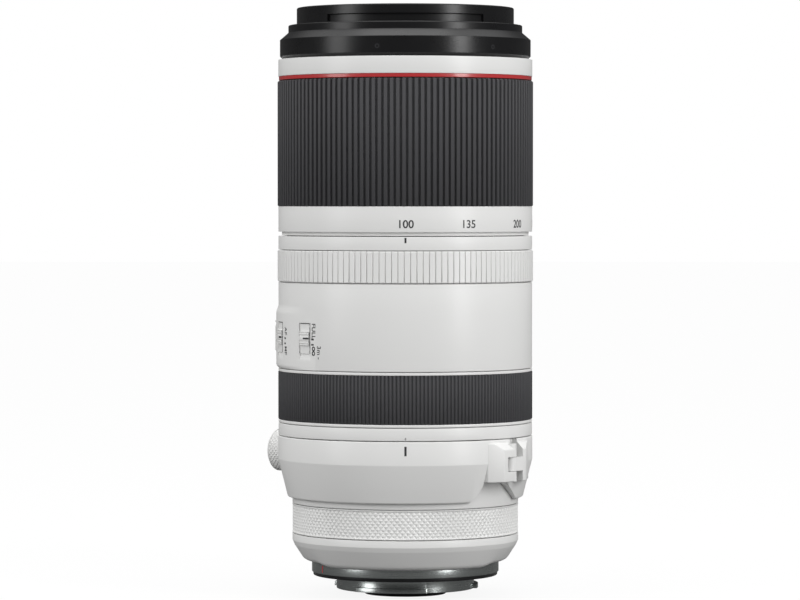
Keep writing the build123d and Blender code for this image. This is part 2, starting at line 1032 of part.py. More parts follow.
# Mount: flange with its bayonet, gasket, contacts
lug_top = -lug_drop
with BuildPart() as mount_flange:
    turned(
        (throat_r, -bayonet_depth),
        (bayonet_r, -bayonet_depth),
        (bayonet_r, 0),
        (flange_face_r, 0),
        (flange_face_r, gasket_seat),
        (gasket_r, gasket_seat),
        (gasket_r, 0),
        (flange_r, 0),
        (flange_r, flange_thickness),
        (throat_r, flange_thickness),
    )
    for lug in range(lug_count):
        middle = lug_bearing + lug * 360 / lug_count
        sector(
            bayonet_r + lug_stand,
            throat_r,
            middle - lug_arc / 2,
            middle + lug_arc / 2,
            lug_top - lug_height,
            lug_top,
        )
save(mount_flange.part, "mount_flange")

with BuildPart() as mount_gasket:
    ring(gasket_r, flange_face_r, -gasket_stand, gasket_seat)
save(mount_gasket.part, "mount_gasket")

pin_bearings = [
    contact_bearing + (place - (contact_count - 1) / 2) * contact_pitch_deg
    for place in range(contact_count)
]
with BuildPart() as contact_block:
    sector(
        throat_r,
        contact_r,
        contact_bearing - contact_arc / 2,
        contact_bearing + contact_arc / 2,
        -contact_drop,
        flange_thickness,
    )
save(contact_block.part, "contact_block")

with BuildPart() as contact_pins:
    for bearing in pin_bearings:
        with BuildSketch(level(bearing, -contact_drop)) as pin:
            with Locations((contact_middle_r, 0)):
                RegularPolygon(contact_pin_r, contact_pin_sides)
        extrude(pin.sketch, amount=-contact_pin_stand)
save(contact_pins.part, "contact_pins")

# Rear baffle, the black nose inside the throat, and the last element in it
rear_lens_low = rear_lens_setback - baffle_drop
rear_lens_r = baffle_r - baffle_wall
with BuildPart() as rear_baffle:
    turned(
        (rear_lens_r - baffle_wall, -baffle_drop),
        (baffle_r - baffle_chamfer, -baffle_drop),
        (baffle_r, baffle_chamfer - baffle_drop),
        (baffle_r, 0),
        (baffle_flare_r, flange_thickness - baffle_chamfer),
        (baffle_flare_r, flange_thickness),
        (floor_hole_r, flange_thickness),
        (floor_hole_r, flange_thickness + baffle_flange),
        (baffle_flare_r - baffle_wall, flange_thickness + baffle_flange),
        (rear_lens_r, baffle_flange),
        (rear_lens_r, rear_lens_low),
        (rear_lens_r - baffle_wall, rear_lens_low),
    )
save(rear_baffle.part, "rear_baffle")

with BuildPart() as rear_element:
    glass(rear_lens_r, rear_lens_low, rear_lens_edge, rear_lens_sag, -rear_lens_sag / 2)
save(rear_element.part, "rear_element")

# Circuit board on the floor of the rear barrel, open where the rails stand
rail_bearings = (90, 270)
with BuildPart() as circuit_board:
    ring(
        rear_bore - board_gap,
        rear_bore - board_gap - board_width,
        chamber_floor,
        chamber_floor + board_thickness,
    )
    for bearing in rail_bearings:
        peg(
            Plane(origin=(*polar(rail_circle_r, bearing), chamber_floor)),
            rail_r + board_gap,
            amount=board_thickness,
            mode=Mode.SUBTRACT,
        )
    with BuildSketch(level(motor_bearing, chamber_floor)) as gap:
        with Locations((rail_circle_r, 0)):
            Rectangle(2 * motor_depth, motor_width + 2 * board_gap)
    extrude(gap.sketch, amount=board_thickness, mode=Mode.SUBTRACT)
save(circuit_board.part, "circuit_board")

# Focus unit: two rails, a bridge over them, the motor, and the carriage with its lens
rail_top = chamber_floor + rail_length
with BuildPart() as focus_rails:
    for bearing in rail_bearings:
        peg(
            Plane(origin=(*polar(rail_circle_r, bearing), chamber_floor)),
            rail_r,
            amount=rail_length,
        )
save(focus_rails.part, "focus_rails")

with BuildPart() as rail_bridge:
    ring(rear_bore, rear_bore - bridge_width, rail_top - bridge_height, rail_top)
    for bearing in rail_bearings:
        peg(
            Plane(origin=(*polar(rail_circle_r, bearing), rail_top - bridge_height)),
            rail_r,
            amount=bridge_height,
            mode=Mode.SUBTRACT,
        )
save(rail_bridge.part, "rail_bridge")

with BuildPart() as focus_motor:
    with BuildSketch(level(motor_bearing, chamber_floor)):
        with Locations((rail_circle_r, 0)):
            Rectangle(motor_depth, motor_width)
    extrude(amount=motor_length)
    chamfer(focus_motor.edges().filter_by(Axis.Z), length=motor_foot / 2)
save(focus_motor.part, "focus_motor")

carriage_low = chamber_floor + carriage_lift
with BuildPart() as focus_carriage:
    turned(
        (focus_lens_r - focus_seat_lip, carriage_low),
        (carriage_r, carriage_low),
        (carriage_r, carriage_low + carriage_height),
        (focus_lens_r, carriage_low + carriage_height),
        (focus_lens_r, carriage_low + focus_seat_height),
        (focus_lens_r - focus_seat_lip, carriage_low + focus_seat_height),
    )
    for bearing in rail_bearings:
        with BuildSketch(level(bearing, carriage_low)) as arm:
            with Locations(((rail_circle_r + focus_lens_r) / 2, 0)):
                Rectangle(rail_circle_r - focus_lens_r, 2 * carriage_boss_r)
        extrude(arm.sketch, amount=carriage_boss_height)
        centre = Plane(origin=(*polar(rail_circle_r, bearing), carriage_low))
        peg(centre, carriage_boss_r, amount=carriage_boss_height)
    ring(focus_lens_r, 0, carriage_low + focus_seat_height, rail_top, mode=Mode.SUBTRACT)
    for bearing in rail_bearings:
        centre = Plane(origin=(*polar(rail_circle_r, bearing), carriage_low))
        peg(centre, rail_r + pin_play, amount=carriage_boss_height, mode=Mode.SUBTRACT)
save(focus_carriage.part, "focus_carriage")

with BuildPart() as focus_element:
    glass(
        focus_lens_r,
        carriage_low + focus_seat_height,
        focus_lens_edge,
        -focus_lens_sag / 4,
        focus_lens_sag / 4,
    )
save(focus_element.part, "focus_element")

# Zoom group: a carrier on three followers, with its optics, stabiliser and diaphragm
variator_low = carrier_top - variator_setback
shelf_low = variator_low - shelf_drop
shelf_top = shelf_low + shelf_height
with BuildPart() as zoom_carrier:
    turned(
        (carrier_bore, carrier_low),
        (extension_r, carrier_low),
        (extension_r, carrier_low + carrier_skirt),
        (extension_bore, carrier_low + carrier_skirt),
        (extension_bore, carrier_low + carrier_floor),
        (carrier_r, carrier_low + carrier_floor),
        (carrier_r, carrier_top),
        (carrier_bore, carrier_top),
        (carrier_bore, variator_low),
        (carrier_bore - carrier_wall, variator_low),
        (carrier_bore - carrier_wall, variator_low - carrier_wall),
        (carrier_bore, variator_low - carrier_wall),
        (carrier_bore, shelf_top),
        (stabiliser_lens_r, shelf_top),
        (stabiliser_lens_r, shelf_low),
        (carrier_bore, shelf_low),
    )
    for bearing in follower_bearings:
        peg(
            facing(bearing, extension_r, carrier_pin_height),
            follower_r,
            amount=extension_wall + overrun,
            both=True,
            mode=Mode.SUBTRACT,
        )
save(zoom_carrier.part, "zoom_carrier")

with BuildPart() as carrier_followers:
    for bearing in follower_bearings:
        follower(bearing, carrier_pin_height)
save(carrier_followers.part, "carrier_followers")

with BuildPart() as zoom_elements:
    glass(carrier_bore, variator_low, variator_edges[0], -variator_sag, variator_sag / 2)
    glass(
        carrier_bore,
        variator_low + variator_edges[0] + variator_gap,
        variator_edges[1],
        variator_sag,
        variator_sag,
    )
    ring(
        carrier_bore,
        carrier_bore - carrier_wall,
        variator_low + variator_edges[0],
        variator_low + variator_edges[0] + variator_gap,
    )
save(zoom_elements.part, "zoom_elements")

# Stabiliser: a guide frame that slides one way on the shelf, and the lens frame on it
guide_frame_low = shelf_top + slide_play
moving_frame_low = guide_frame_low + guide_frame_height + slide_play
with BuildPart() as stabiliser_guide:
    ring(
        guide_frame_r,
        guide_frame_inner,
        guide_frame_low,
        guide_frame_low + guide_frame_height,
    )
save(stabiliser_guide.part, "stabiliser_guide")

with BuildPart() as stabiliser_frame:
    ring(
        moving_frame_r,
        stabiliser_lens_r,
        moving_frame_low,
        moving_frame_low + moving_frame_height,
    )
    for bearing in coil_bearings:
        with BuildSketch(
            level(bearing, moving_frame_low + moving_frame_height - rail_key)
        ) as coil:
            with Locations(((moving_frame_r + stabiliser_lens_r) / 2, 0)):
                SlotOverall(coil_length, coil_width, rotation=90)
        extrude(coil.sketch, amount=rail_key, mode=Mode.SUBTRACT)
save(stabiliser_frame.part, "stabiliser_frame")

with BuildPart() as stabiliser_element:
    glass(
        stabiliser_lens_r,
        moving_frame_low + slide_play,
        stabiliser_lens_edge,
        stabiliser_sag,
        -stabiliser_sag,
    )
save(stabiliser_element.part, "stabiliser_element")

# Diaphragm: housing ring, blades folded away at full aperture, and the drive ring
iris_low = moving_frame_low + iris_lift
blades_low = iris_low + iris_height
iris_ring_low = blades_low + blade_count * blade_thickness
with BuildPart() as iris_housing:
    ring(carrier_bore, iris_r, iris_low, blades_low)
save(iris_housing.part, "iris_housing")

with BuildPart() as iris_blades:
    for blade in range(blade_count):
        start = blade * 360 / blade_count
        sector(
            iris_r + blade_width,
            iris_r,
            start,
            start + 2 * 360 / blade_count,
            blades_low + blade * blade_thickness,
            blades_low + (blade + 1) * blade_thickness,
        )
save(iris_blades.part, "iris_blades")

with BuildPart() as iris_ring:
    ring(carrier_bore, iris_r, iris_ring_low, iris_ring_low + iris_cap)
save(iris_ring.part, "iris_ring")

# Tripod collar. Heights on it are measured from its own rear edge
hinge_pin_out = hinge_face - knuckle_r
lock_bearing = hinge_bearing - 180


def collar_shell():
    """The whole ring of the collar, before it is parted into base and gate."""
    turned(
        (collar_bore, collar_low),
        (collar_foot_r - collar_round, collar_low),
        (collar_foot_r, collar_low + collar_round),
        (collar_r, collar_low + collar_taper),
        (collar_r, collar_top),
        (collar_bore, collar_top),
    )


def collar_groove():
    """The groove in the collar's bore that runs on the barrel's ridge."""
    ring(
        rear_r + ridge_stand + play,
        rear_r,
        ridge_low - play,
        ridge_top + play,
        mode=Mode.SUBTRACT,
    )


def clear_bore():
    """Cut the bore again, after lugs have been added."""
    ring(collar_bore, 0, collar_low - overrun, collar_top + overrun, mode=Mode.SUBTRACT)
    collar_groove()


def keep_half(side):
    """Keep the half of the collar on one side of the hinge's plane, less the gap."""
    reach = 2 * foot_face
    prism(
        level(hinge_bearing, -reach),
        (-reach, side * play / 2),
        (reach, side * play / 2),
        (reach, side * reach),
        (-reach, side * reach),
        amount=3 * reach,
        mode=Mode.INTERSECT,
    )


def hinge_lug(left, right):
    """The raised lug of the hinge between two places round the axis."""
    first = radians(hinge_left_bearing - hinge_bearing)
    last = radians(hinge_right_bearing - hinge_bearing)
    with BuildSketch(level(hinge_bearing, collar_low + hinge_low)) as plan:
        with BuildLine():
            Polyline(
                (collar_bore, collar_r * sin(first)),
                (collar_r * cos(first), collar_r * sin(first)),
                (hinge_face, -hinge_half_width),
                (hinge_face, hinge_half_width),
                (collar_r * cos(last), collar_r * sin(last)),
                (collar_bore, collar_r * sin(last)),
                close=True,
            )
        make_face()
        with BuildLine():
            Polyline(
                (0, left),
                (foot_face, left),
                (foot_face, right),
                (0, right),
                close=True,
            )
        make_face(mode=Mode.INTERSECT)
    extrude(plan.sketch, amount=hinge_high - hinge_low)


def bevel_hinge():
    """Slope the top of the hinge's lug."""
    top = collar_low + hinge_high
    prism(
        upright(hinge_bearing),
        (hinge_face + overrun, top - hinge_bevel - overrun),
        (hinge_face - hinge_bevel, top),
        (hinge_face - hinge_bevel, top + overrun),
        (hinge_face + overrun, top + overrun),
        amount=2 * hinge_half_width + overrun,
        both=True,
        mode=Mode.SUBTRACT,
    )


def knuckle(low, high, radius, mode=Mode.ADD):
    """A round knuckle about the hinge's pin, or its hole, between two heights."""
    centre = polar(hinge_pin_out, hinge_bearing)
    peg(
        Plane(origin=(*centre, collar_low + low)),
        radius,
        amount=high - low,
        mode=mode,
    )


def hinge_notch(low, high, left, right):
    """Clear the outside of the lug between two heights and two places round the axis."""
    prism(
        level(hinge_bearing, collar_low + low),
        (hinge_pin_out - knuckle_r - play, left),
        (hinge_face + overrun, left),
        (hinge_face + overrun, right),
        (hinge_pin_out - knuckle_r - play, right),
        amount=high - low,
        mode=Mode.SUBTRACT,
    )


def clamp_block(*outline):
    """A block at the clamp. Its points run outwards, then past the parting to the base."""
    prism(
        level(lock_bearing, collar_low + clamp_low),
        *((out, -past) for out, past in outline),
        amount=clamp_height,
    )


def lock_peg(radius, low, high, mode=Mode.ADD):
    """A round peg or hole on the axis of the lock, between two places outwards."""
    with BuildSketch(facing(lock_bearing, low, lock_height)) as section:
        with Locations((-lock_offset, 0)):
            Circle(radius)
    extrude(section.sketch, amount=high - low, mode=mode)


lock_height = collar_low + clamp_low + clamp_height / 2
tongue_low = clamp_pad + play
tongue_high = tongue_low + tongue_thickness
washer_low = tongue_high + clamp_gap
washer_high = washer_low + lock_washer_height
knob_low = washer_high + slide_play
knob_high = knob_low + lock_knob_length
lock_tip = clamp_pad - lock_screw_inset

# Outline of the foot in the plane of the axis: outwards, then forward
foot_root = rear_r - overrun
foot_outline = (
    (foot_root, collar_low + collar_round),
    (foot_face - 2 * foot_plate, collar_low + collar_round),
    (foot_face - foot_plate, foot_rear + foot_plate / 2),
    (foot_face - foot_plate / 2, foot_rear),
    (foot_face, foot_rear),
    (foot_face, foot_front),
    (foot_face - foot_plate / 2, foot_front),
    (foot_face - foot_plate, foot_front - foot_plate / 2),
    (foot_face - foot_plate, collar_top + foot_plate),
    (foot_face - 2 * foot_plate, collar_top),
    (foot_root, collar_top),
)
insert_hole = Plane(
    origin=(0, foot_face, foot_hole_height), x_dir=(1, 0, 0), z_dir=(0, -1, 0)
)
stop_hole = Plane(
    origin=(0, foot_face, foot_hole_height + stop_hole_spacing),
    x_dir=(1, 0, 0),
    z_dir=(0, -1, 0),
)

# Base of the collar, with the foot, the middle knuckle and the pad of the clamp
with BuildPart() as collar_base:
    prism(upright(180), *foot_outline, amount=foot_width / 2, both=True)
    chamfer(collar_base.faces().filter_by(Axis.X).edges(), length=foot_edge)
    collar_shell()
    hinge_lug(0, collar_r)
    bevel_hinge()
    clamp_block(
        (collar_bore, 0),
        (clamp_pad, 0),
        (clamp_pad, clamp_pad_length),
        (collar_r * cos(radians(clamp_pad_deg)), collar_r * sin(radians(clamp_pad_deg))),
        (collar_bore, clamp_pad_length),
    )
    clear_bore()
    keep_half(1)
    hinge_notch(hinge_low - play, knuckle_low, -overrun, knuckle_notch)
    hinge_notch(knuckle_high, collar_height, -overrun, knuckle_notch)
    knuckle(knuckle_low, knuckle_high, knuckle_r)
    knuckle(knuckle_low, knuckle_high, hinge_pin_r, mode=Mode.SUBTRACT)
    slant = collar_foot_r * sin(radians(skirt_slant_deg))
    prism(
        facing(hinge_bearing, collar_bore - overrun, collar_low),
        (-overrun, hinge_low - play),
        (play / 2, hinge_low - play),
        (slant, 0),
        (slant, -overrun),
        (-overrun, -overrun),
        amount=2 * overrun + collar_wall,
        mode=Mode.SUBTRACT,
    )
    lock_peg(lock_screw_r + pin_play, rear_r, clamp_pad, mode=Mode.SUBTRACT)
    peg(insert_hole, insert_r, amount=insert_depth, mode=Mode.SUBTRACT)
    peg(stop_hole, stop_hole_r, amount=stop_hole_depth, mode=Mode.SUBTRACT)
save(collar_base.part, "collar_base")

with BuildPart() as tripod_insert:
    peg(insert_hole, insert_r, amount=insert_depth)
    peg(insert_hole, tripod_thread_r, amount=insert_depth, mode=Mode.SUBTRACT)
save(tripod_insert.part, "tripod_insert")

with BuildPart() as hinge_pin:
    knuckle(hinge_low + hinge_pin_inset, hinge_high - hinge_bevel, hinge_pin_r)
save(hinge_pin.part, "hinge_pin")

# Gate of the collar, which swings on the pin, with the slotted tongue of the clamp
with BuildPart() as collar_gate:
    collar_shell()
    hinge_lug(-collar_r, 0)
    clamp_block(
        (collar_bore, 0),
        (tongue_high, 0),
        (tongue_high, -clamp_root_top),
        (collar_r * cos(radians(clamp_root_deg)), -collar_r * sin(radians(clamp_root_deg))),
        (collar_bore, -collar_r * sin(radians(clamp_root_deg))),
    )
    clear_bore()
    sector(
        collar_r + overrun,
        collar_bore - overrun,
        skirt_gap_bearing,
        hinge_right_bearing,
        collar_low - overrun,
        collar_low + hinge_low,
        mode=Mode.SUBTRACT,
    )
    keep_half(-1)
    hinge_notch(
        knuckle_low - knuckle_play,
        knuckle_high + knuckle_play,
        -knuckle_notch,
        overrun,
    )
    knuckle(hinge_low, knuckle_low - knuckle_play, knuckle_r)
    knuckle(knuckle_high + knuckle_play, hinge_high, knuckle_r)
    knuckle(hinge_low, hinge_high, hinge_pin_r + pin_play, mode=Mode.SUBTRACT)
    bevel_hinge()
    clamp_block(
        (tongue_low, -clamp_root_top),
        (tongue_high, -clamp_root_top),
        (tongue_high, tongue_length),
        (tongue_low, tongue_length),
    )
    lock_peg(lock_screw_r + tongue_slot_play, tongue_low, tongue_high, mode=Mode.SUBTRACT)
    with BuildSketch(facing(lock_bearing, tongue_low, lock_height)) as mouth:
        with Locations((-lock_offset - tongue_length / 2, 0)):
            Rectangle(tongue_length, 2 * (lock_screw_r + tongue_slot_play))
    extrude(mouth.sketch, amount=tongue_thickness, mode=Mode.SUBTRACT)
save(collar_gate.part, "collar_gate")

# Lock: a washer that follows the screw, and the knob on the screw's end
with BuildPart() as lock_washer:
    lock_peg(lock_washer_r, washer_low, washer_high)
    lock_peg(lock_screw_r + pin_play, washer_low, washer_high, mode=Mode.SUBTRACT)
save(lock_washer.part, "lock_washer")

with BuildPart() as lock_knob:
    lock_peg(lock_knob_r, knob_low, knob_high)
    chamfer(lock_knob.edges().filter_by(GeomType.CIRCLE), length=lock_knob_round)
    lock_peg(lock_dimple_r, knob_high - lock_dimple, knob_high, mode=Mode.SUBTRACT)
    lock_peg(lock_screw_r, lock_tip, knob_low)
save(lock_knob.part, "lock_knob")
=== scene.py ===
"""A telephoto zoom lens with its tripod collar, modelled and finished for a studio picture."""

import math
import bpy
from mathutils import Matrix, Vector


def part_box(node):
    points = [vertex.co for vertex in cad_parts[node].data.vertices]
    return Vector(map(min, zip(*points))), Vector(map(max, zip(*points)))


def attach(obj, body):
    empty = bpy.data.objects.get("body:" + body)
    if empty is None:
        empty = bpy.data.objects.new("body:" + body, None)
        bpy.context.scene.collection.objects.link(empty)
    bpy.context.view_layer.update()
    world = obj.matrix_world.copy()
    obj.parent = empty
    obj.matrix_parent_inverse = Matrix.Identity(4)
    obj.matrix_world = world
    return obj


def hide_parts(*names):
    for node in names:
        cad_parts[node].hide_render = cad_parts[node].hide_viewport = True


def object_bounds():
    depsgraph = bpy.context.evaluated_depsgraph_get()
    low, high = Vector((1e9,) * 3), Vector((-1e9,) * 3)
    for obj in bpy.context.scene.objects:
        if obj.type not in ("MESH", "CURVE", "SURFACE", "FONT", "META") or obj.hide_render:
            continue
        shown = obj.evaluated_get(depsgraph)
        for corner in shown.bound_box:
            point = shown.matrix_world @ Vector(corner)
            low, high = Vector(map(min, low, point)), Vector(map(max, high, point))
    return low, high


bl_info = {
    "name": "Telephoto Zoom Lens",
    "version": (1, 0, 0),
    "blender": (4, 5, 0),
    "location": "3D View > Sidebar > Lens",
    "description": "Models the rings, grips, switches, collar and mount of a telephoto zoom lens",
    "category": "Add Mesh",
}

import bmesh
import bpy
from bpy.props import FloatProperty, FloatVectorProperty, IntProperty, PointerProperty
from mathutils import Matrix, Vector

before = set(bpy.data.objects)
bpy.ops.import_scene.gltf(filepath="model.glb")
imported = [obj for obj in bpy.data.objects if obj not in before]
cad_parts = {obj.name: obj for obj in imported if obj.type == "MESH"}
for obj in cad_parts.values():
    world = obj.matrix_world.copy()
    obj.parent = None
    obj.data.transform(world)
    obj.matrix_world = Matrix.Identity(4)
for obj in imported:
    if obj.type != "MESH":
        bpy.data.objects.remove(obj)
cad_box = [list(corner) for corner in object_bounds()]

MM = 0.001


# Places on the lens, in millimetres and in degrees from the scale side
HINGE_BEARING = 54
LOCK_BEARING = -126
LOCK_HEIGHT = 42.4
LOCK_SHIFT = -4.35
SEAT_GROOVE = (36.0, 40.0)
SCREW_CIRCLE = 29.3
PANEL_BEARINGS = (-142, -44)
PANEL_MIDDLE = -93
PANEL_BULGE = 0.85
PANEL_BULGE_HALF = 43
PANEL_RADIUS = 47.4
PANEL_RAMPS = (1.2, 3.3)
SWITCHES = ((-51.0, 1), (-74.6, 1), (-98.2, 1), (-121.8, 2))
SWITCH_TRAVEL = 2.0
SLOT_WIDTH = 6.2
SLOT_LENGTH = 11.2
SLOT_TOP = 92.5
SCOOP_LENGTH = 2.1
SLOT_HALF = math.degrees(SLOT_WIDTH / 2 / PANEL_RADIUS)
KNOB_MIDDLE = 86.9
KNOB_LIFT = 0.43
RAMP_REACH = 1.4

# The studio: the sky's strength, and each lamp's bearing, distance, height, size and power
SKY = 1.12
LAMPS = (
    ("softbox_left", -63.0, 0.9, 0.32, 0.32, 0.7, 2.6),
    ("softbox_right", 51.0, 0.9, 0.32, 0.20, 0.7, 3.9),
    ("softbox_top", 180.0, 0.1, 1.2, 0.7, 0.6, 2.2),
)


def low(node):
    """The height of a node's rear edge, in millimetres."""
    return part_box(node)[0].z / MM


def high(node):
    """The height of a node's front edge, in millimetres."""
    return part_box(node)[1].z / MM


def reach(node):
    """The radius of a node that is turned about the axis, in millimetres."""
    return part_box(node)[1].x / MM


def panel_radius(bearing, height):
    """The radius of the switch panel's skin, which swells out of the barrel."""
    barrel = reach("main_barrel")
    shift = PANEL_BULGE / (1 - math.cos(math.radians(PANEL_BULGE_HALF)))
    circle = barrel + PANEL_BULGE - shift
    off = math.radians(bearing - PANEL_MIDDLE)
    swell = shift * math.cos(off) + math.sqrt(circle**2 - (shift * math.sin(off)) ** 2)
    rear, front = PANEL_RAMPS
    rise = min(1.0, (height - low("switch_panel")) / rear)
    fall = min(1.0, max(0.0, (high("switch_panel") + RAMP_REACH - height) / front))
    share = math.sin(rise * math.pi / 2) * fall * fall * (3 - 2 * fall)
    return barrel + max(0.0, swell - barrel) * share


def slot_foot(steps):
    """The height of a slot's rear edge, for a switch with this many steps."""
    return SLOT_TOP - SLOT_LENGTH - (steps - 1) * SWITCH_TRAVEL


# Sizes and colours that a user would change


class LensSizes(bpy.types.PropertyGroup):
    """Sizes of the lens's outside that the solids leave open."""

    edge_break: FloatProperty(
        name="Edge Break",
        description="Width of the small rounding on the edges of the rings",
        default=0.15 * MM,
        unit="LENGTH",
    )
    zoom_ribs: IntProperty(
        name="Zoom Ribs", description="Ribs round the zoom grip", default=133, min=12
    )
    zoom_rib_depth: FloatProperty(
        name="Zoom Rib Depth",
        description="Depth of the grooves of the zoom grip",
        default=0.9 * MM,
        unit="LENGTH",
    )
    focus_ribs: IntProperty(
        name="Focus Ribs", description="Ribs round the focus grip", default=208, min=12
    )
    focus_rib_depth: FloatProperty(
        name="Focus Rib Depth",
        description="Depth of the grooves of the focus grip",
        default=0.5 * MM,
        unit="LENGTH",
    )
    tension_grooves: IntProperty(
        name="Tension Grooves", description="Grooves round the tension ring", default=130, min=12
    )
    tension_depth: FloatProperty(
        name="Tension Groove Depth",
        description="Depth of the grooves of the tension ring",
        default=0.5 * MM,
        unit="LENGTH",
    )
    knurl_pitch: FloatProperty(
        name="Knurl Pitch",
        description="Distance between the points of the knurling",
        default=1.0 * MM,
        unit="LENGTH",
    )
    knurl_depth: FloatProperty(
        name="Knurl Depth",
        description="Height of the points of the knurling",
        default=0.34 * MM,
        unit="LENGTH",
    )
    digit_height: FloatProperty(
        name="Digit Height",
        description="Height of the numbers of the zoom scale",
        default=2.9 * MM,
        unit="LENGTH",
    )
    print_lift: FloatProperty(
        name="Print Lift",
        description="How far printed marks stand off the surface",
        default=0.03 * MM,
        unit="LENGTH",
    )


COLOUR = {"subtype": "COLOR", "size": 3, "min": 0.0, "max": 1.0}


class LensColours(bpy.types.PropertyGroup):
    """Colours of the lens's finishes."""

    enamel: FloatVectorProperty(
        name="White Enamel", description="Paint of the barrel",
        default=(0.80, 0.80, 0.79),
        **COLOUR,
    )
    rubber: FloatVectorProperty(
        name="Grip Rubber", description="Rubber of the grips",
        default=(0.066, 0.066, 0.068),
        **COLOUR,
    )
    black: FloatVectorProperty(
        name="Satin Black", description="The front ring", default=(0.006, 0.006, 0.0065), **COLOUR
    )
    stripe: FloatVectorProperty(
        name="Stripe", description="The stripe behind the front ring",
        default=(0.52, 0.032, 0.036),
        **COLOUR,
    )
    ink: FloatVectorProperty(
        name="Ink", description="Printed marks", default=(0.03, 0.03, 0.032), **COLOUR
    )


def sizes():
    """The sizes that the user has set."""
    return bpy.context.scene.lens_sizes


def size_of(name):
    """A size that the user has set, in millimetres."""
    return getattr(sizes(), name) / MM


def colours():
    """The colours that the user has set."""
    return bpy.context.scene.lens_colours


# Shader maths


class Wire:
    """A value in a material. Sums and products of wires add their Math nodes."""

    def __init__(self, finish, socket):
        self.finish = finish
        self.socket = socket

    def maths(self, operation, first, second):
        return self.finish.node("ShaderNodeMath", {"operation": operation}, {0: first, 1: second})

    def __add__(self, other):
        return self.maths("ADD", self, other)

    __radd__ = __add__

    def __sub__(self, other):
        return self.maths("SUBTRACT", self, other)

    def __rsub__(self, other):
        return self.maths("SUBTRACT", other, self)

    def __mul__(self, other):
        return self.maths("MULTIPLY", self, other)

    __rmul__ = __mul__


class Finish:
    """A material or a world under construction, and its nodes."""

    def __init__(self, name, kind="materials"):
        self.material = getattr(bpy.data, kind).new(name)
        self.material.use_nodes = True
        self.tree = self.material.node_tree
        self.tree.nodes.clear()
        self.place = self.node("ShaderNodeTexCoord", output="Object")

    def node(self, kind, settings=None, sockets=None, output=0):
        """Add a node, with its settings first and then its sockets' values or wires."""
        made = self.tree.nodes.new(kind)
        for key, value in (settings or {}).items():
            setattr(made, key, value)
        for key, value in (sockets or {}).items():
            if isinstance(value, Wire):
                self.tree.links.new(value.socket, made.inputs[key])
            else:
                made.inputs[key].default_value = value
        return Wire(self, made.outputs[output])

    def noise(self, size, detail=2.0):
        """Noise with features of a real size."""
        place = self.node("ShaderNodeMapping", None, {"Vector": self.place})
        sockets = {"Vector": place, "Scale": 1.0 / size, "Detail": detail}
        return self.node("ShaderNodeTexNoise", None, sockets)

    def mix(self, first, second, share):
        """Mix two colours."""
        sockets = {0: share, 6: self.rgba(first), 7: self.rgba(second)}
        return self.node("ShaderNodeMix", {"data_type": "RGBA"}, sockets, output=2)

    @staticmethod
    def rgba(colour):
        return colour if isinstance(colour, Wire) else (*colour[:3], 1.0)

    def bump(self, height, depth, strength):
        """A Bump node, for a height from 0 to 1 that stands for a real depth."""
        sockets = {"Height": height, "Distance": depth, "Strength": strength}
        return self.node("ShaderNodeBump", None, sockets)

    def radius(self):
        """The distance from the optical axis."""
        kind = "ShaderNodeVectorMath"
        flat = self.node(kind, {"operation": "MULTIPLY"}, {0: self.place, 1: (1.0, 1.0, 0.0)})
        return self.node(kind, {"operation": "LENGTH"}, {0: flat}, output="Value")

    def height(self):
        """The height along the optical axis."""
        return self.node("ShaderNodeSeparateXYZ", None, {0: self.place}, output="Z")

    def surface(self, colour, roughness, **sockets):
        """Close the material with its shader."""
        values = {"Base Color": self.rgba(colour), "Roughness": roughness}
        values.update({key.replace("_", " "): value for key, value in sockets.items()})
        return self.close(self.node("ShaderNodeBsdfPrincipled", None, values))

    def close(self, shader, kind="ShaderNodeOutputMaterial"):
        """Link the last shader to the output."""
        out = self.tree.nodes.new(kind)
        self.tree.links.new(shader.socket, out.inputs["Surface"])
        return self.material

    def rays(self):
        """Whether a ray comes from the camera, off a glossy surface or through glass."""
        kinds = ("Is Camera Ray", "Is Glossy Ray", "Is Transmission Ray")
        return [self.node("ShaderNodeLightPath", output=kind) for kind in kinds]


# Finishes


def times(colour, factor, more=0.0):
    """A colour made darker or lighter."""
    return tuple(part * factor + more for part in colour)


def enamel():
    """Baked heat-resistant paint: satin, with a fine even grain and a trace of handling."""
    finish = Finish("white_enamel")
    grain = finish.noise(0.35 * MM, detail=3.0)
    cloud = finish.noise(28 * MM, detail=3.0)
    wear = finish.noise(4 * MM, detail=4.0)
    base = colours().enamel
    return finish.surface(
        finish.mix(base, times(base, 0.955), cloud * 0.5 + grain * 0.18),
        0.33 + wear * 0.1 + grain * 0.08,
        Normal=finish.bump(grain, 0.02 * MM, 0.6),
        Coat_Weight=0.12,
        Coat_Roughness=0.25,
    )


def satin_black(name="satin_black", tint=1.0):
    """Black lacquer over fine blasting, as on the front ring."""
    finish = Finish(name)
    grain = finish.noise(0.25 * MM, detail=2.0)
    haze = finish.noise(9 * MM, detail=3.0)
    base = times(colours().black, tint)
    return finish.surface(
        finish.mix(base, times(base, 1.7, 0.002), haze * 0.6 + grain * 0.2),
        0.22 + haze * 0.08 + grain * 0.05,
        Normal=finish.bump(grain, 0.012 * MM, 0.5),
        Specular_IOR_Level=0.36,
    )


def grip_rubber():
    """Moulded rubber: matt, and slightly dusty in places."""
    finish = Finish("grip_rubber")
    grain = finish.noise(0.3 * MM, detail=3.0)
    bloom = finish.noise(12 * MM, detail=4.0)
    base = colours().rubber
    return finish.surface(
        finish.mix(base, times(base, 1.35, 0.004), bloom * 0.6 + grain * 0.3),
        0.6 + grain * 0.16,
        Normal=finish.bump(grain, 0.03 * MM, 0.6),
    )


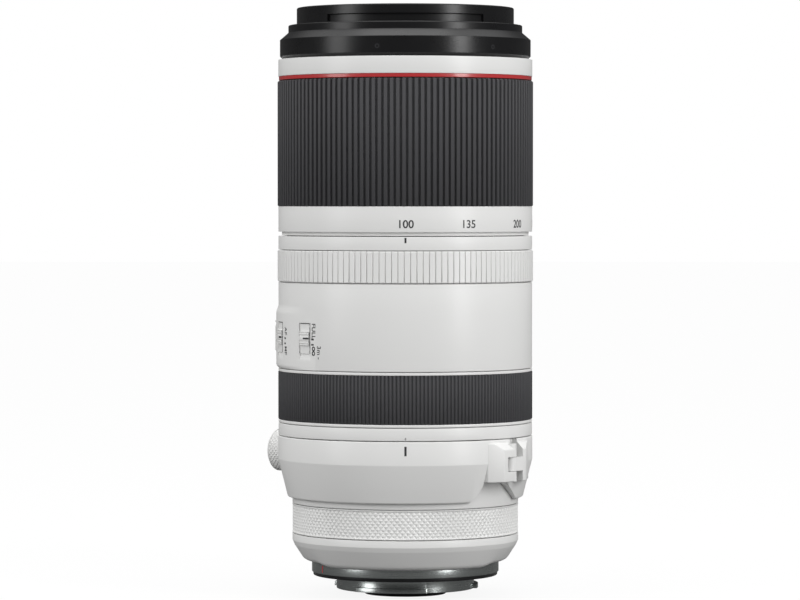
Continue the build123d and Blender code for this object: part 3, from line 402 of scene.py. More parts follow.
def stripe_enamel():
    """The stripe's glossy enamel."""
    finish = Finish("stripe_enamel")
    grain = finish.noise(0.5 * MM, detail=2.0)
    base = colours().stripe
    return finish.surface(
        finish.mix(base, times(base, 0.8), grain * 0.5),
        0.28 + grain * 0.06,
        Normal=finish.bump(grain, 0.01 * MM, 0.4),
        Coat_Weight=0.5,
        Coat_Roughness=0.12,
    )


def turned_steel():
    """Bright steel faced on a lathe: rings about the optical axis."""
    finish = Finish("turned_steel")
    colour, fineness = (0.50, 0.53, 0.52), 9000.0
    place = {0: finish.radius() * fineness, 1: finish.height() * fineness}
    place = finish.node("ShaderNodeCombineXYZ", None, place)
    sockets = {"Vector": place, "Scale": 1.0, "Detail": 2.0}
    rings = finish.node("ShaderNodeTexNoise", {"noise_dimensions": "2D"}, sockets)
    smear = finish.noise(6 * MM, detail=3.0)
    return finish.surface(
        finish.mix(colour, times(colour, 0.82), smear * 0.6 + rings * 0.3),
        0.16 + rings * 0.12 + smear * 0.06,
        Metallic=1.0,
        Normal=finish.bump(rings, 0.006 * MM, 0.5),
    )


def plain_metal(name, colour, rough):
    """A small machined part."""
    finish = Finish(name)
    grain = finish.noise(0.2 * MM, detail=2.0)
    smear = finish.noise(3 * MM, detail=3.0)
    return finish.surface(
        finish.mix(colour, times(colour, 0.8), smear * 0.7),
        rough + grain * 0.1,
        Metallic=1.0,
        Normal=finish.bump(grain, 0.006 * MM, 0.4),
    )


def moulded(name, colour, rough):
    """Moulded plastic with a fine spark texture."""
    finish = Finish(name)
    grain = finish.noise(0.22 * MM, detail=3.0)
    flow = finish.noise(10 * MM, detail=3.0)
    return finish.surface(
        finish.mix(colour, times(colour, 0.8), flow * 0.5 + grain * 0.2),
        rough + grain * 0.14,
        Normal=finish.bump(grain, 0.02 * MM, 0.6),
    )


def baffle_black():
    """Matt black with fine concentric threads that stop reflections."""
    finish = Finish("baffle_black")
    pitch = 0.75 * MM
    turns = finish.height() * (2 * math.pi / pitch)
    threads = finish.node("ShaderNodeMath", {"operation": "SINE"}, {0: turns})
    dust = finish.noise(1.5 * MM, detail=3.0)
    return finish.surface(
        finish.mix((0.012, 0.012, 0.013), (0.03, 0.03, 0.032), dust * 0.4),
        0.6 + dust * 0.2,
        Normal=finish.bump(threads * 0.5 + 0.5, 0.12 * MM, 0.7),
    )


def coated_glass():
    """Optical glass with an anti-reflection coating."""
    finish = Finish("coated_glass")
    haze = finish.noise(5 * MM, detail=2.0)
    return finish.surface(
        finish.mix((0.93, 0.97, 0.96), (0.88, 0.93, 0.95), haze * 0.5),
        0.02 + haze * 0.02,
        IOR=1.52,
        Transmission_Weight=0.96,
        Thin_Film_Thickness=420.0,
        Thin_Film_IOR=1.38,
    )


def circuit_green():
    """Solder resist with copper tracks."""
    finish = Finish("circuit_green")
    tracks = finish.node(
        "ShaderNodeTexBrick",
        {"offset": 0.37},
        {
            "Vector": finish.place,
            "Scale": 220.0,
            "Mortar Size": 0.03,
            "Color1": (1.0, 1.0, 1.0, 1.0),
            "Color2": (0.6, 0.6, 0.6, 1.0),
            "Mortar": (0.0, 0.0, 0.0, 1.0),
        },
    )
    blot = finish.noise(2 * MM, detail=3.0)
    return finish.surface(
        finish.mix((0.05, 0.16, 0.06), (0.015, 0.09, 0.035), tracks),
        0.32 + blot * 0.15,
        Normal=finish.bump(tracks, 0.03 * MM, 0.5),
    )


def printed_ink():
    """Ink of the printed marks."""
    finish = Finish("printed_ink")
    grain = finish.noise(0.15 * MM, detail=2.0)
    base = colours().ink
    return finish.surface(
        finish.mix(base, times(base, 1.8), grain * 0.5),
        0.42 + grain * 0.1,
        Normal=finish.bump(grain, 0.004 * MM, 0.4),
    )


def finished(name, make, *values):
    """The material of this name, made the first time that it is asked for."""
    return bpy.data.materials.get(name) or make(*values)


def white():
    return finished("white_enamel", enamel)


def black():
    return finished("satin_black", satin_black)


def rubber():
    return finished("grip_rubber", grip_rubber)


def ink():
    return finished("printed_ink", printed_ink)


# Places round the lens, in millimetres


def polar(radius, bearing, height=0.0):
    """A point at a radius, at a bearing from the scale side towards +X, and at a height."""
    angle = math.radians(bearing)
    return Vector((radius * math.sin(angle), -radius * math.cos(angle), height))


def bearing_of(point):
    return math.degrees(math.atan2(point.x, -point.y))


def span(point):
    """The distance of a point from the axis, in millimetres."""
    return math.hypot(point.x, point.y) / MM


def plane(origin, across, up):
    """The matrix of a drawing plane, from its x and y directions."""
    turn = Matrix((across, up, across.cross(up))).transposed().to_4x4()
    return Matrix.Translation(origin) @ turn


def facing(bearing, radius, height):
    """A plane that faces outwards, with its x round the axis and its y forward."""
    return plane(polar(radius, bearing, height), polar(1, bearing + 90), Vector((0, 0, 1)))


def upright(bearing):
    """A plane through the axis, with its x outwards and its y forward."""
    return plane(Vector(), polar(1, bearing), Vector((0, 0, 1)))


def level(bearing, height):
    """A plane at a height, with its x outwards and its y round the axis."""
    return plane(Vector((0, 0, height)), polar(1, bearing), polar(1, bearing + 90))


def scaled(where):
    """A plane in millimetres, for a mesh that is in millimetres too."""
    return Matrix.Scale(MM, 4) @ where


def scaled_place(where):
    """A plane in millimetres, for a mesh that is in metres."""
    return Matrix.Scale(MM, 4) @ where @ Matrix.Scale(1 / MM, 4)


def eased(outline, steps=4):
    """An outline with its corners rounded, where a corner's third value is its radius."""
    points = []
    for place, corner in enumerate(outline):
        here = Vector(corner[:2])
        if len(corner) == 2:
            points.append((here.x, here.y))
            continue
        before = (Vector(outline[place - 1][:2]) - here).normalized()
        after = (Vector(outline[(place + 1) % len(outline)][:2]) - here).normalized()
        half = before.angle(after) / 2
        centre = here + (before + after).normalized() * corner[2] / math.sin(half)
        start = here + before * corner[2] / math.tan(half) - centre
        end = here + after * corner[2] / math.tan(half) - centre
        sweep = start.angle(end)
        for step in range(steps + 1):
            share = step / steps
            spoke = start * math.sin((1 - share) * sweep) + end * math.sin(share * sweep)
            point = centre + spoke / math.sin(sweep)
            points.append((point.x, point.y))
    return points


# Modelling by hand, in millimetres


def to_object_mode():
    """Leave edit mode and deselect everything."""
    if bpy.context.mode != "OBJECT":
        bpy.ops.object.mode_set(mode="OBJECT")
    bpy.ops.object.select_all(action="DESELECT")


def make_active(piece, mode="OBJECT"):
    """Select one piece alone, in object mode or in edit mode with all of it selected."""
    to_object_mode()
    piece.select_set(True)
    bpy.context.view_layer.objects.active = piece
    if mode == "EDIT":
        bpy.ops.object.mode_set(mode="EDIT")
        bpy.ops.mesh.select_all(action="SELECT")


def pick(piece, test, kind="FACE"):
    """In edit mode, select only the vertices, edges or faces whose middle passes a test."""
    bpy.ops.mesh.select_mode(type=kind)
    bpy.ops.mesh.select_all(action="DESELECT")
    mesh = bmesh.from_edit_mesh(piece.data)
    if kind == "VERT":
        for vertex in mesh.verts:
            vertex.select = bool(test(vertex.co))
    elif kind == "EDGE":
        for edge in mesh.edges:
            edge.select = bool(test((edge.verts[0].co + edge.verts[1].co) / 2))
    else:
        for face in mesh.faces:
            face.select = bool(test(face.calc_center_median()))
    mesh.select_flush_mode()
    bmesh.update_edit_mesh(piece.data)


def within(first, last, bottom, top, inner=0.0, outer=99.0):
    """A test for a point between two bearings, two heights and two radii."""
    middle, half = (first + last) / 2, (last - first) / 2

    def test(point):
        off = (bearing_of(point) - middle + 180) % 360 - 180
        return abs(off) < half and bottom * MM < point.z < top * MM and inner < span(point) < outer

    return test


def extrude_to(factor=1.0, rise=0.0):
    """Extrude what is selected, and scale it about the axis or raise it."""
    bpy.ops.mesh.extrude_region_move(TRANSFORM_OT_translate={"value": (0, 0, rise * MM)})
    if factor != 1.0:
        bpy.ops.transform.resize(value=(factor, factor, 1), center_override=(0, 0, 0))


def pick_open_edges():
    """In edit mode, select the edges of every opening."""
    bpy.ops.mesh.select_all(action="DESELECT")
    bpy.ops.mesh.select_mode(type="EDGE")
    bpy.ops.mesh.select_non_manifold(
        use_wire=False, use_multi_face=False, use_non_contiguous=False, use_verts=False
    )


def merge_doubles():
    """In edit mode, merge the vertices that meet, all over the piece."""
    bpy.ops.mesh.select_all(action="SELECT")
    bpy.ops.mesh.remove_doubles(threshold=0.0005 * MM)


def added(name):
    """The object that was just added, under its name."""
    piece = bpy.context.object
    piece.name = name
    return piece


def grid(name, across, along):
    """A flat grid with this many faces each way, to be laid in place."""
    to_object_mode()
    bpy.ops.mesh.primitive_grid_add(x_subdivisions=across, y_subdivisions=along, size=1)
    return added(name)


def apply(piece, modifier):
    make_active(piece)
    bpy.ops.object.modifier_apply(modifier=modifier.name)


def soften(piece, width, segments=3, angle=30.0):
    """Round the edges of a piece."""
    rounding = piece.modifiers.new("rounding", "BEVEL")
    rounding.width = width * MM
    rounding.segments = segments
    rounding.limit_method = "ANGLE"
    rounding.angle_limit = math.radians(angle)
    apply(piece, rounding)
    return piece


def combine(piece, other, operation="UNION"):
    """Join another solid to a piece, or cut it out of the piece with DIFFERENCE."""
    boolean = piece.modifiers.new("boolean", "BOOLEAN")
    boolean.operation = operation
    boolean.solver = "EXACT"
    boolean.object = other
    apply(piece, boolean)
    bpy.data.meshes.remove(other.data)
    return piece


def cut(piece, other):
    return combine(piece, other, "DIFFERENCE")


def trim(piece, point, normal):
    """Cut off what lies beyond a plane, and close the cut."""
    make_active(piece, "EDIT")
    bpy.ops.mesh.bisect(
        plane_co=point * MM, plane_no=normal, use_fill=True, clear_outer=True
    )
    bpy.ops.object.mode_set(mode="OBJECT")
    return piece


def smooth(piece, degrees):
    make_active(piece)
    bpy.ops.object.shade_smooth_by_angle(angle=math.radians(degrees))
    return piece


def settle(piece, bevel=0.0, smooth_deg=35.0, segments=2):
    """Merge what meets in a piece, turn its faces outwards, break its edges and smooth it."""
    make_active(piece, "EDIT")
    bpy.ops.mesh.remove_doubles(threshold=0.0005 * MM)
    bpy.ops.mesh.normals_make_consistent(inside=False)
    bpy.ops.object.mode_set(mode="OBJECT")
    if bevel:
        soften(piece, bevel, segments)
    return smooth(piece, smooth_deg)


def paint(piece, material):
    piece.data.materials.clear()
    piece.data.materials.append(material)


def dress(piece, material, body, *nodes):
    """Give a piece its finish and its body, and say which nodes it stands for."""
    paint(piece, material)
    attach(piece, body)
    if nodes:
        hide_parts(*nodes)
    return piece


def carve(piece, shares, depth):
    """Draw in the vertices of a circle by shares of a depth, one share for each place in turn."""
    radius = piece.data.vertices[0].co.length / MM
    for place, share in enumerate(shares):
        if share == 0:
            continue
        mesh = bmesh.from_edit_mesh(piece.data)
        for vertex in mesh.verts:
            vertex.select = vertex.index % len(shares) == place
        mesh.select_flush_mode()
        bmesh.update_edit_mesh(piece.data)
        factor = 1 - share * depth / radius
        bpy.ops.transform.resize(value=(factor, factor, 1), center_override=(0, 0, 0))


def turned(name, outline, sides=192, pattern=None, depth=0.0, closed=True):
    """Model a ring: draw a circle at the outline's first point, extrude its edge from
    point to point and join the last to the first. A pattern draws ribs in the circle.
    An outline that isn't closed starts and ends near the axis, and is filled there."""
    outline = eased(outline)
    radius, height = outline[0]
    to_object_mode()
    bpy.ops.mesh.primitive_circle_add(vertices=sides, radius=radius * MM, fill_type="NOTHING")
    piece = added(name)
    bpy.ops.object.mode_set(mode="EDIT")
    bpy.ops.mesh.select_mode(type="VERT")
    if pattern:
        bpy.ops.mesh.select_all(action="DESELECT")
        carve(piece, pattern, depth)
    bpy.ops.mesh.select_all(action="SELECT")
    bpy.ops.transform.translate(value=(0, 0, height * MM))
    for next_radius, next_height in outline[1:]:
        rise = (next_height - height) * MM
        bpy.ops.mesh.extrude_edges_move(TRANSFORM_OT_translate={"value": (0, 0, rise)})
        factor = next_radius / radius
        bpy.ops.transform.resize(value=(factor, factor, 1), center_override=(0, 0, 0))
        radius, height = next_radius, next_height
    pick_open_edges()
    if closed:
        bpy.ops.mesh.bridge_edge_loops()
    else:
        bpy.ops.mesh.edge_face_add()
    bpy.ops.object.mode_set(mode="OBJECT")
    return piece


def ring(name, outer, inner, bottom, top, round_off=0.0, **options):
    """A plain ring between two heights, with its outer corners rounded."""
    corner = (round_off,) if round_off else ()
    outline = [(outer, bottom, *corner), (outer, top, *corner), (inner, top), (inner, bottom)]
    return turned(name, outline, **options)


def prism(name, where, corners, depth, both=False):
    """Draw out a flat outline: a circle with a vertex for each corner, filled and extruded."""
    to_object_mode()
    bpy.ops.mesh.primitive_circle_add(vertices=len(corners), radius=1, fill_type="NGON")
    piece = added(name)
    back = -depth if both else 0.0
    for vertex, (across, up) in zip(piece.data.vertices, corners):
        vertex.co = (across, up, back)
    make_active(piece, "EDIT")
    bpy.ops.mesh.extrude_region_move(TRANSFORM_OT_translate={"value": (0, 0, depth - back)})
    bpy.ops.mesh.select_all(action="SELECT")
    bpy.ops.mesh.normals_make_consistent(inside=False)
    bpy.ops.object.mode_set(mode="OBJECT")
    piece.data.transform(scaled(where))
    return piece


def peg(name, where, radius, depth, sides=64):
    """A round peg that stands on a plane."""
    to_object_mode()
    bpy.ops.mesh.primitive_cylinder_add(vertices=sides, radius=radius, depth=depth)
    piece = added(name)
    piece.data.transform(scaled(where @ Matrix.Translation((0, 0, depth / 2))))
    return piece


def sector(name, outer, inner, first, last, bottom, top, sides=24):
    """A piece of a ring between two bearings."""
    steps = [first + (last - first) * place / sides for place in range(sides + 1)]
    corners = [polar(outer, step).xy for step in steps]
    corners += [polar(inner, step).xy for step in reversed(steps)]
    return prism(name, Matrix.Translation((0, 0, bottom)), corners, top - bottom)


def knurl(piece, radius, bottom, rows, step, columns, depth):
    """Raise every other vertex between two heights, and join the low ones by creases."""
    make_active(piece, "EDIT")
    middle = radius - depth / 2

    def knurled(point):
        height = point.z / MM
        return (
            bottom - 0.01 < height < bottom + rows * step + 0.01
            and abs(span(point) - middle) < 0.01
        )

    def raised(point):
        column = round(math.atan2(point.x, point.y) * columns / (2 * math.pi))
        return (column + round((point.z / MM - bottom) / step)) % 2

    for place, target in ((0, radius), (1, radius - depth)):
        pick(piece, lambda point: knurled(point) and raised(point) == place, "VERT")
        factor = target / middle
        bpy.ops.transform.resize(value=(factor, factor, 1), center_override=(0, 0, 0))
    high = bottom + rows * step
    for corner, method in enumerate(("FIXED", "FIXED_ALTERNATE")):
        bpy.ops.mesh.select_mode(type="FACE")
        bpy.ops.mesh.select_all(action="DESELECT")
        mesh = bmesh.from_edit_mesh(piece.data)
        for face in mesh.faces:
            point = face.calc_center_median()
            low_corner = span(face.verts[corner].co) < middle
            inside = bottom * MM < point.z < high * MM and span(point) > radius - depth
            face.select = inside and low_corner and len(face.verts) == 4
        bmesh.update_edit_mesh(piece.data)
        bpy.ops.mesh.quads_convert_to_tris(quad_method=method)
    bpy.ops.object.mode_set(mode="OBJECT")


def knurled_bar(name, radius, inner, bottom, top, edge, across, along, depth, tail):
    """A turned bar with diamond knurling between two plain edges, and the rest of its outline."""
    columns = 2 * round(math.pi * radius / across)
    rows = round((top - bottom - 2 * edge) / along)
    step = (top - bottom - 2 * edge) / rows
    middle = radius - depth / 2
    outline = [(radius - edge / 3, bottom), (radius, bottom + edge / 3)]
    outline += [(radius, bottom + edge * 0.8)]
    outline += [(middle, bottom + edge + step * row) for row in range(rows + 1)]
    outline += [(radius, top - edge * 0.8), (radius, top - edge / 3), (radius - edge / 3, top)]
    piece = turned(name, outline + tail, sides=columns)
    knurl(piece, radius, bottom + edge, rows, step, columns, depth)
    return piece


def wrap(piece, radius, bearing, height, stand=0.0):
    """Lay a flat drawing round a cylinder, its x round the axis and its y forward, or
    on the switch panel where it has no radius."""
    for vertex in piece.data.vertices:
        turn = bearing + math.degrees(vertex.co.x / (radius or PANEL_RADIUS))
        forward = height + vertex.co.y
        skin = (radius or panel_radius(turn, forward)) + size_of("print_lift") + stand
        vertex.co = polar(skin, turn, forward) * MM


def word(name, text, size, radius, bearing, height, turn_deg=0.0, weight=0.02):
    """A printed word on a cylinder."""
    to_object_mode()
    bpy.ops.object.text_add()
    piece = bpy.context.object
    piece.data.body = text
    piece.data.size = size / 0.72
    piece.data.offset = weight * size
    piece.data.align_x = "CENTER"
    piece.data.align_y = "CENTER"
    piece.rotation_euler.z = math.radians(turn_deg)
    piece.name = name
    bpy.ops.object.convert(target="MESH")
    piece = bpy.context.object
    bpy.ops.object.transform_apply(location=True, rotation=True, scale=True)
    wrap(piece, radius, bearing, height)
    return piece


def mark(name, width, length, radius, bearing, height, stand=0.0):
    """A printed line along the axis, or round it where it is wider than long."""
    piece = grid(name, max(1, int(width)), max(1, int(length)))
    piece.scale = (width, length, 1)
    bpy.ops.object.transform_apply(location=True, rotation=True, scale=True)
    wrap(piece, radius, bearing, height, stand)
    return piece


class LensOperator:
    """What the operators of this add-on share."""

    bl_options = {"REGISTER", "UNDO"}

    def execute(self, context):
        self.build()
        return {"FINISHED"}


# Rings of the barrel


class LENS_OT_front_ring(LensOperator, bpy.types.Operator):
    """Model the black front ring with its filter thread, hood seat and hood groove"""

    bl_idname = "lens.front_ring"
    bl_label = "Front Ring"

    def build(self):
        bottom, top = low("front_ring"), high("front_ring")
        outer, tube = reach("front_ring"), reach("extension_tube")
        rim, seat, thread = 40.0, 43.1, 38.1
        seat_top, groove_top = top - 6.4, top - 3.5
        outline = [
            (tube, bottom), (outer - 1.2, bottom, 0.1), (outer, bottom + 1.2, 0.2),
            (outer, top - 11.8, 0.25), (seat, top - 9.1, 0.2), (seat, seat_top, 0.45),
            (rim, seat_top), (rim, groove_top), (rim, top, 0.5), (thread, top, 0.25),
        ]
        pitch, turns = 0.75, 6
        for turn in range(turns):
            crest = top - 0.4 - pitch * turn
            outline += [(thread, crest), (thread + 0.42, crest - pitch / 2)]
        outline += [
            (thread, top - 0.4 - pitch * turns), (thread - 0.9, top - 5.0),
            (thread - 0.9, top - 11.8), (tube, top - 11.8),
        ]
        piece = turned("front_ring_skin", outline, sides=360)
        make_active(piece, "EDIT")
        for middle in (0, 180):
            groove = within(middle - 45, middle + 45, seat_top, groove_top, rim - 0.2, rim + 0.2)
            pick(piece, groove)
            extrude_to(factor=(rim - 1.1) / rim)
        settle(piece, size_of("edge_break"), segments=1)
        dress(piece, black(), "front_group", "front_ring")


class LENS_OT_front_bands(LensOperator, bpy.types.Operator):
    """Model the white band and the stripe behind the front ring, and the tube inside them"""

    bl_idname = "lens.front_bands"
    bl_label = "Front Bands"

    def build(self):
        stripe = finished("stripe_enamel", stripe_enamel)
        tube = reach("extension_tube")
        for node, inner, material in (
            ("name_band", tube, white()),
            ("accent_ring", tube, stripe),
            ("extension_tube", tube - 1.4, white()),
        ):
            edge = size_of("edge_break")
            piece = ring(node + "_skin", reach(node), inner, low(node), high(node), edge)
            settle(piece)
            dress(piece, material, "front_group", node)


class LENS_OT_zoom_ring(LensOperator, bpy.types.Operator):
    """Model the zoom ring's white band and the core under its rubber"""

    bl_idname = "lens.zoom_ring"
    bl_label = "Zoom Ring"

    def build(self):
        outer = reach("zoom_ring")
        bottom, top = low("zoom_ring"), high("zoom_ring")
        grip = low("zoom_grip")
        core, bore, edge = 45.3, 43.6, size_of("edge_break")
        outline = [
            (outer - 1.3, bottom, edge), (outer - 1.3, bottom + 1.3), (outer, bottom + 1.3, edge),
            (outer, grip, edge), (core, grip), (core, top), (41.4, top), (41.4, top - 1.8),
            (bore, top - 1.8), (bore, bottom),
        ]
        piece = settle(turned("zoom_ring_skin", outline, sides=256))
        dress(piece, white(), "zoom_ring", "zoom_ring")


class LENS_OT_grips(LensOperator, bpy.types.Operator):
    """Model the ribbed rubber of the zoom ring and of the focus ring"""

    bl_idname = "lens.grips"
    bl_label = "Grips"

    def build(self):
        coarse = (0.0, 0.0, 0.0, 0.0, 0.0, 0.92, 1.0, 0.92)
        fine = (0.0, 0.0, 0.0, 0.9, 1.0, 0.9)
        for node, core, lip, pattern, ribs, depth in (
            ("zoom_grip", 45.3, 0.35, coarse, sizes().zoom_ribs, "zoom_rib_depth"),
            ("focus_grip", 45.9, 0.3, fine, sizes().focus_ribs, "focus_rib_depth"),
        ):
            outer, bottom, top = reach(node), low(node), high(node)
            outline = [
                (outer - lip, bottom), (outer, bottom + lip), (outer, top - lip),
                (outer - lip, top), (core, top), (core, bottom),
            ]
            piece = turned(
                node + "_skin", outline, ribs * len(pattern), pattern, size_of(depth)
            )
            settle(piece, smooth_deg=50.0)
            dress(piece, rubber(), node.replace("grip", "ring"), node)


class LENS_OT_index_band(LensOperator, bpy.types.Operator):
    """Model the band with the zoom scale's index line"""

    bl_idname = "lens.index_band"
    bl_label = "Index Band"

    def build(self):
        node = "index_band"
        edge = size_of("edge_break")
        piece = ring(node + "_skin", reach(node), 43.9, low(node), high(node), edge, sides=256)
        dress(settle(piece), white(), "barrel", node)


class LENS_OT_tension_ring(LensOperator, bpy.types.Operator):
    """Model the white ring with upright grooves"""

    bl_idname = "lens.tension_ring"
    bl_label = "Tension Ring"

    def build(self):
        outer = reach("tension_ring")
        bottom, top = low("tension_ring"), high("tension_ring")
        pattern = (0.0, 0.0, 0.0, 0.0, 0.0, 0.0, 0.0, 0.0, 1.0, 0.0)
        lip = 0.3
        outline = [
            (outer - lip, bottom), (outer, bottom + lip), (outer, top - lip), (outer - lip, top),
            (45.2, top), (45.2, bottom),
        ]
        grooves = sizes().tension_grooves * len(pattern)
        piece = turned("tension_ring_skin", outline, grooves, pattern, size_of("tension_depth"))
        settle(piece, smooth_deg=40.0)
        dress(piece, white(), "tension_ring", "tension_ring")


class LENS_OT_main_barrel(LensOperator, bpy.types.Operator):
    """Model the main barrel, with the pocket of the switch panel and the brake's windows"""

    bl_idname = "lens.main_barrel"
    bl_label = "Main Barrel"

    def build(self):
        outer, neck, bore = reach("main_barrel"), 44.9, 43.9
        bottom, top = low("main_barrel"), high("main_barrel")
        skin_low, skin_high = high("focus_ring") + 0.3, low("tension_ring") - 0.3
        pads_low, pads_high = low("brake_pads"), high("brake_pads")
        pocket, pocket_top = 45.2, high("switch_panel")
        edge = size_of("edge_break")
        outline = [
            (bore, bottom), (neck, bottom), (neck, skin_low), (pocket, skin_low),
            (outer, skin_low, edge), (outer, pocket_top), (outer, skin_high, edge),
            (neck, skin_high), (neck, pads_low), (neck, pads_high), (neck, top), (bore, top),
            (bore, pads_high), (bore, pads_low),
        ]
        piece = turned("main_barrel_skin", outline, sides=360)
        make_active(piece, "EDIT")
        for middle in (0, 120, -120):
            pick(piece, within(middle - 12, middle + 12, pads_low, pads_high, 0, neck + 0.05))
            self.open_up()
            bpy.ops.mesh.bridge_edge_loops()
        first, last = PANEL_BEARINGS
        pick(piece, within(first, last, skin_low - 0.1, pocket_top, pocket + 0.01))
        self.open_up()
        lip = within(first, last, pocket_top - 0.01, pocket_top + 0.01, outer - 0.05)
        pick(piece, lip, "EDGE")
        extrude_to(factor=pocket / outer)
        extrude_to(rise=skin_low - pocket_top)
        merge_doubles()
        for side in (first, last):
            pocket_low, pocket_high = skin_low - 0.01, pocket_top + 0.01
            wall = within(side - 0.1, side + 0.1, pocket_low, pocket_high, pocket - 0.01)
            pick(piece, wall, "VERT")
            bpy.ops.mesh.edge_face_add()
        settle(piece)
        dress(piece, white(), "barrel", "main_barrel")

    @staticmethod
    def open_up():
        """Delete the selected faces and select the edges of the opening."""
        bpy.ops.mesh.delete(type="FACE")
        bpy.ops.mesh.select_mode(type="EDGE")
        bpy.ops.mesh.select_non_manifold(
            use_wire=False, use_multi_face=False, use_non_contiguous=False, use_verts=False
        )


class LENS_OT_switch_panel(LensOperator, bpy.types.Operator):
    """Model the switch panel: its swelling, its four slots with their plates, and the scoops"""

    bl_idname = "lens.switch_panel"
    bl_label = "Switch Panel"

    def build(self):
        top = SLOT_TOP
        bottom = low("switch_panel")
        head = high("switch_panel") + RAMP_REACH
        first, last = PANEL_BEARINGS
        bearings = set(range(first, last + 1, 2))
        heights = {bottom, bottom + 0.3, bottom + 0.7, bottom + 1.2, head}
        heights |= {head - 0.55 * place for place in range(7)}
        heights |= {80.2, 84.5, 88.5, 90.5}
        for bearing, steps in SWITCHES:
            inset = math.degrees(0.5 / PANEL_RADIUS)
            for side in (-1, 1):
                edge = bearing + side * SLOT_HALF
                bearings -= {near for near in bearings if abs(near - edge) < 1.6}
                bearings |= {edge, edge - side * inset, edge - side * 2 * inset}
            foot = slot_foot(steps)
            heights |= {foot, foot - SCOOP_LENGTH}
            heights |= {foot - SCOOP_LENGTH + 0.5, foot - SCOOP_LENGTH + 1.0}
        heights |= {top, top - 0.5, top - 1.0}
        piece = self.sheet(sorted(bearings), sorted(heights))
        for bearing, steps in SWITCHES:
            self.slot(piece, bearing, steps)
        shell = piece.modifiers.new("shell", "SOLIDIFY")
        shell.thickness = 0.35 * MM
        shell.offset = -1.0
        apply(piece, shell)
        settle(piece, smooth_deg=32.0)
        dress(piece, white(), "barrel", "switch_panel")

    @staticmethod
    def sheet(bearings, heights):
        """A grid laid on the panel's skin, with a line at each bearing and height."""
        columns, rows = len(bearings), len(heights)
        piece = grid("switch_panel_skin", columns - 1, rows - 1)
        for vertex in piece.data.vertices:
            bearing = bearings[vertex.index % columns]
            height = heights[vertex.index // columns]
            vertex.co = polar(panel_radius(bearing, height), bearing, height) * MM
        return piece

    @staticmethod
    def slot(piece, bearing, steps):
        """Sink a slot and its scoop, and raise the plate in the slot again."""
        foot = slot_foot(steps)
        tail = foot - SCOOP_LENGTH
        sink, floor_depth, plate_rise = 0.5, 0.8, 1.16
        sides = (bearing - SLOT_HALF, bearing + SLOT_HALF)
        make_active(piece, "EDIT")
        pick(piece, within(*sides, tail, SLOT_TOP))
        bpy.ops.mesh.extrude_region_move()
        mesh = bmesh.from_edit_mesh(piece.data)
        for vertex in mesh.verts:
            if vertex.select:
                height = vertex.co.z / MM
                share = min(1.0, max(0.0, (height - tail) / SCOOP_LENGTH))
                radius = span(vertex.co) - sink * share
                vertex.co = polar(radius, bearing_of(vertex.co), height) * MM
        bmesh.update_edit_mesh(piece.data)
        merge_doubles()
        pick(piece, within(*sides, foot, SLOT_TOP))
        extrude_to(factor=1 - floor_depth / PANEL_RADIUS)
        bpy.ops.mesh.inset(thickness=0.05 * MM, depth=0)
        extrude_to(factor=1 + plate_rise / PANEL_RADIUS)
        bpy.ops.object.mode_set(mode="OBJECT")


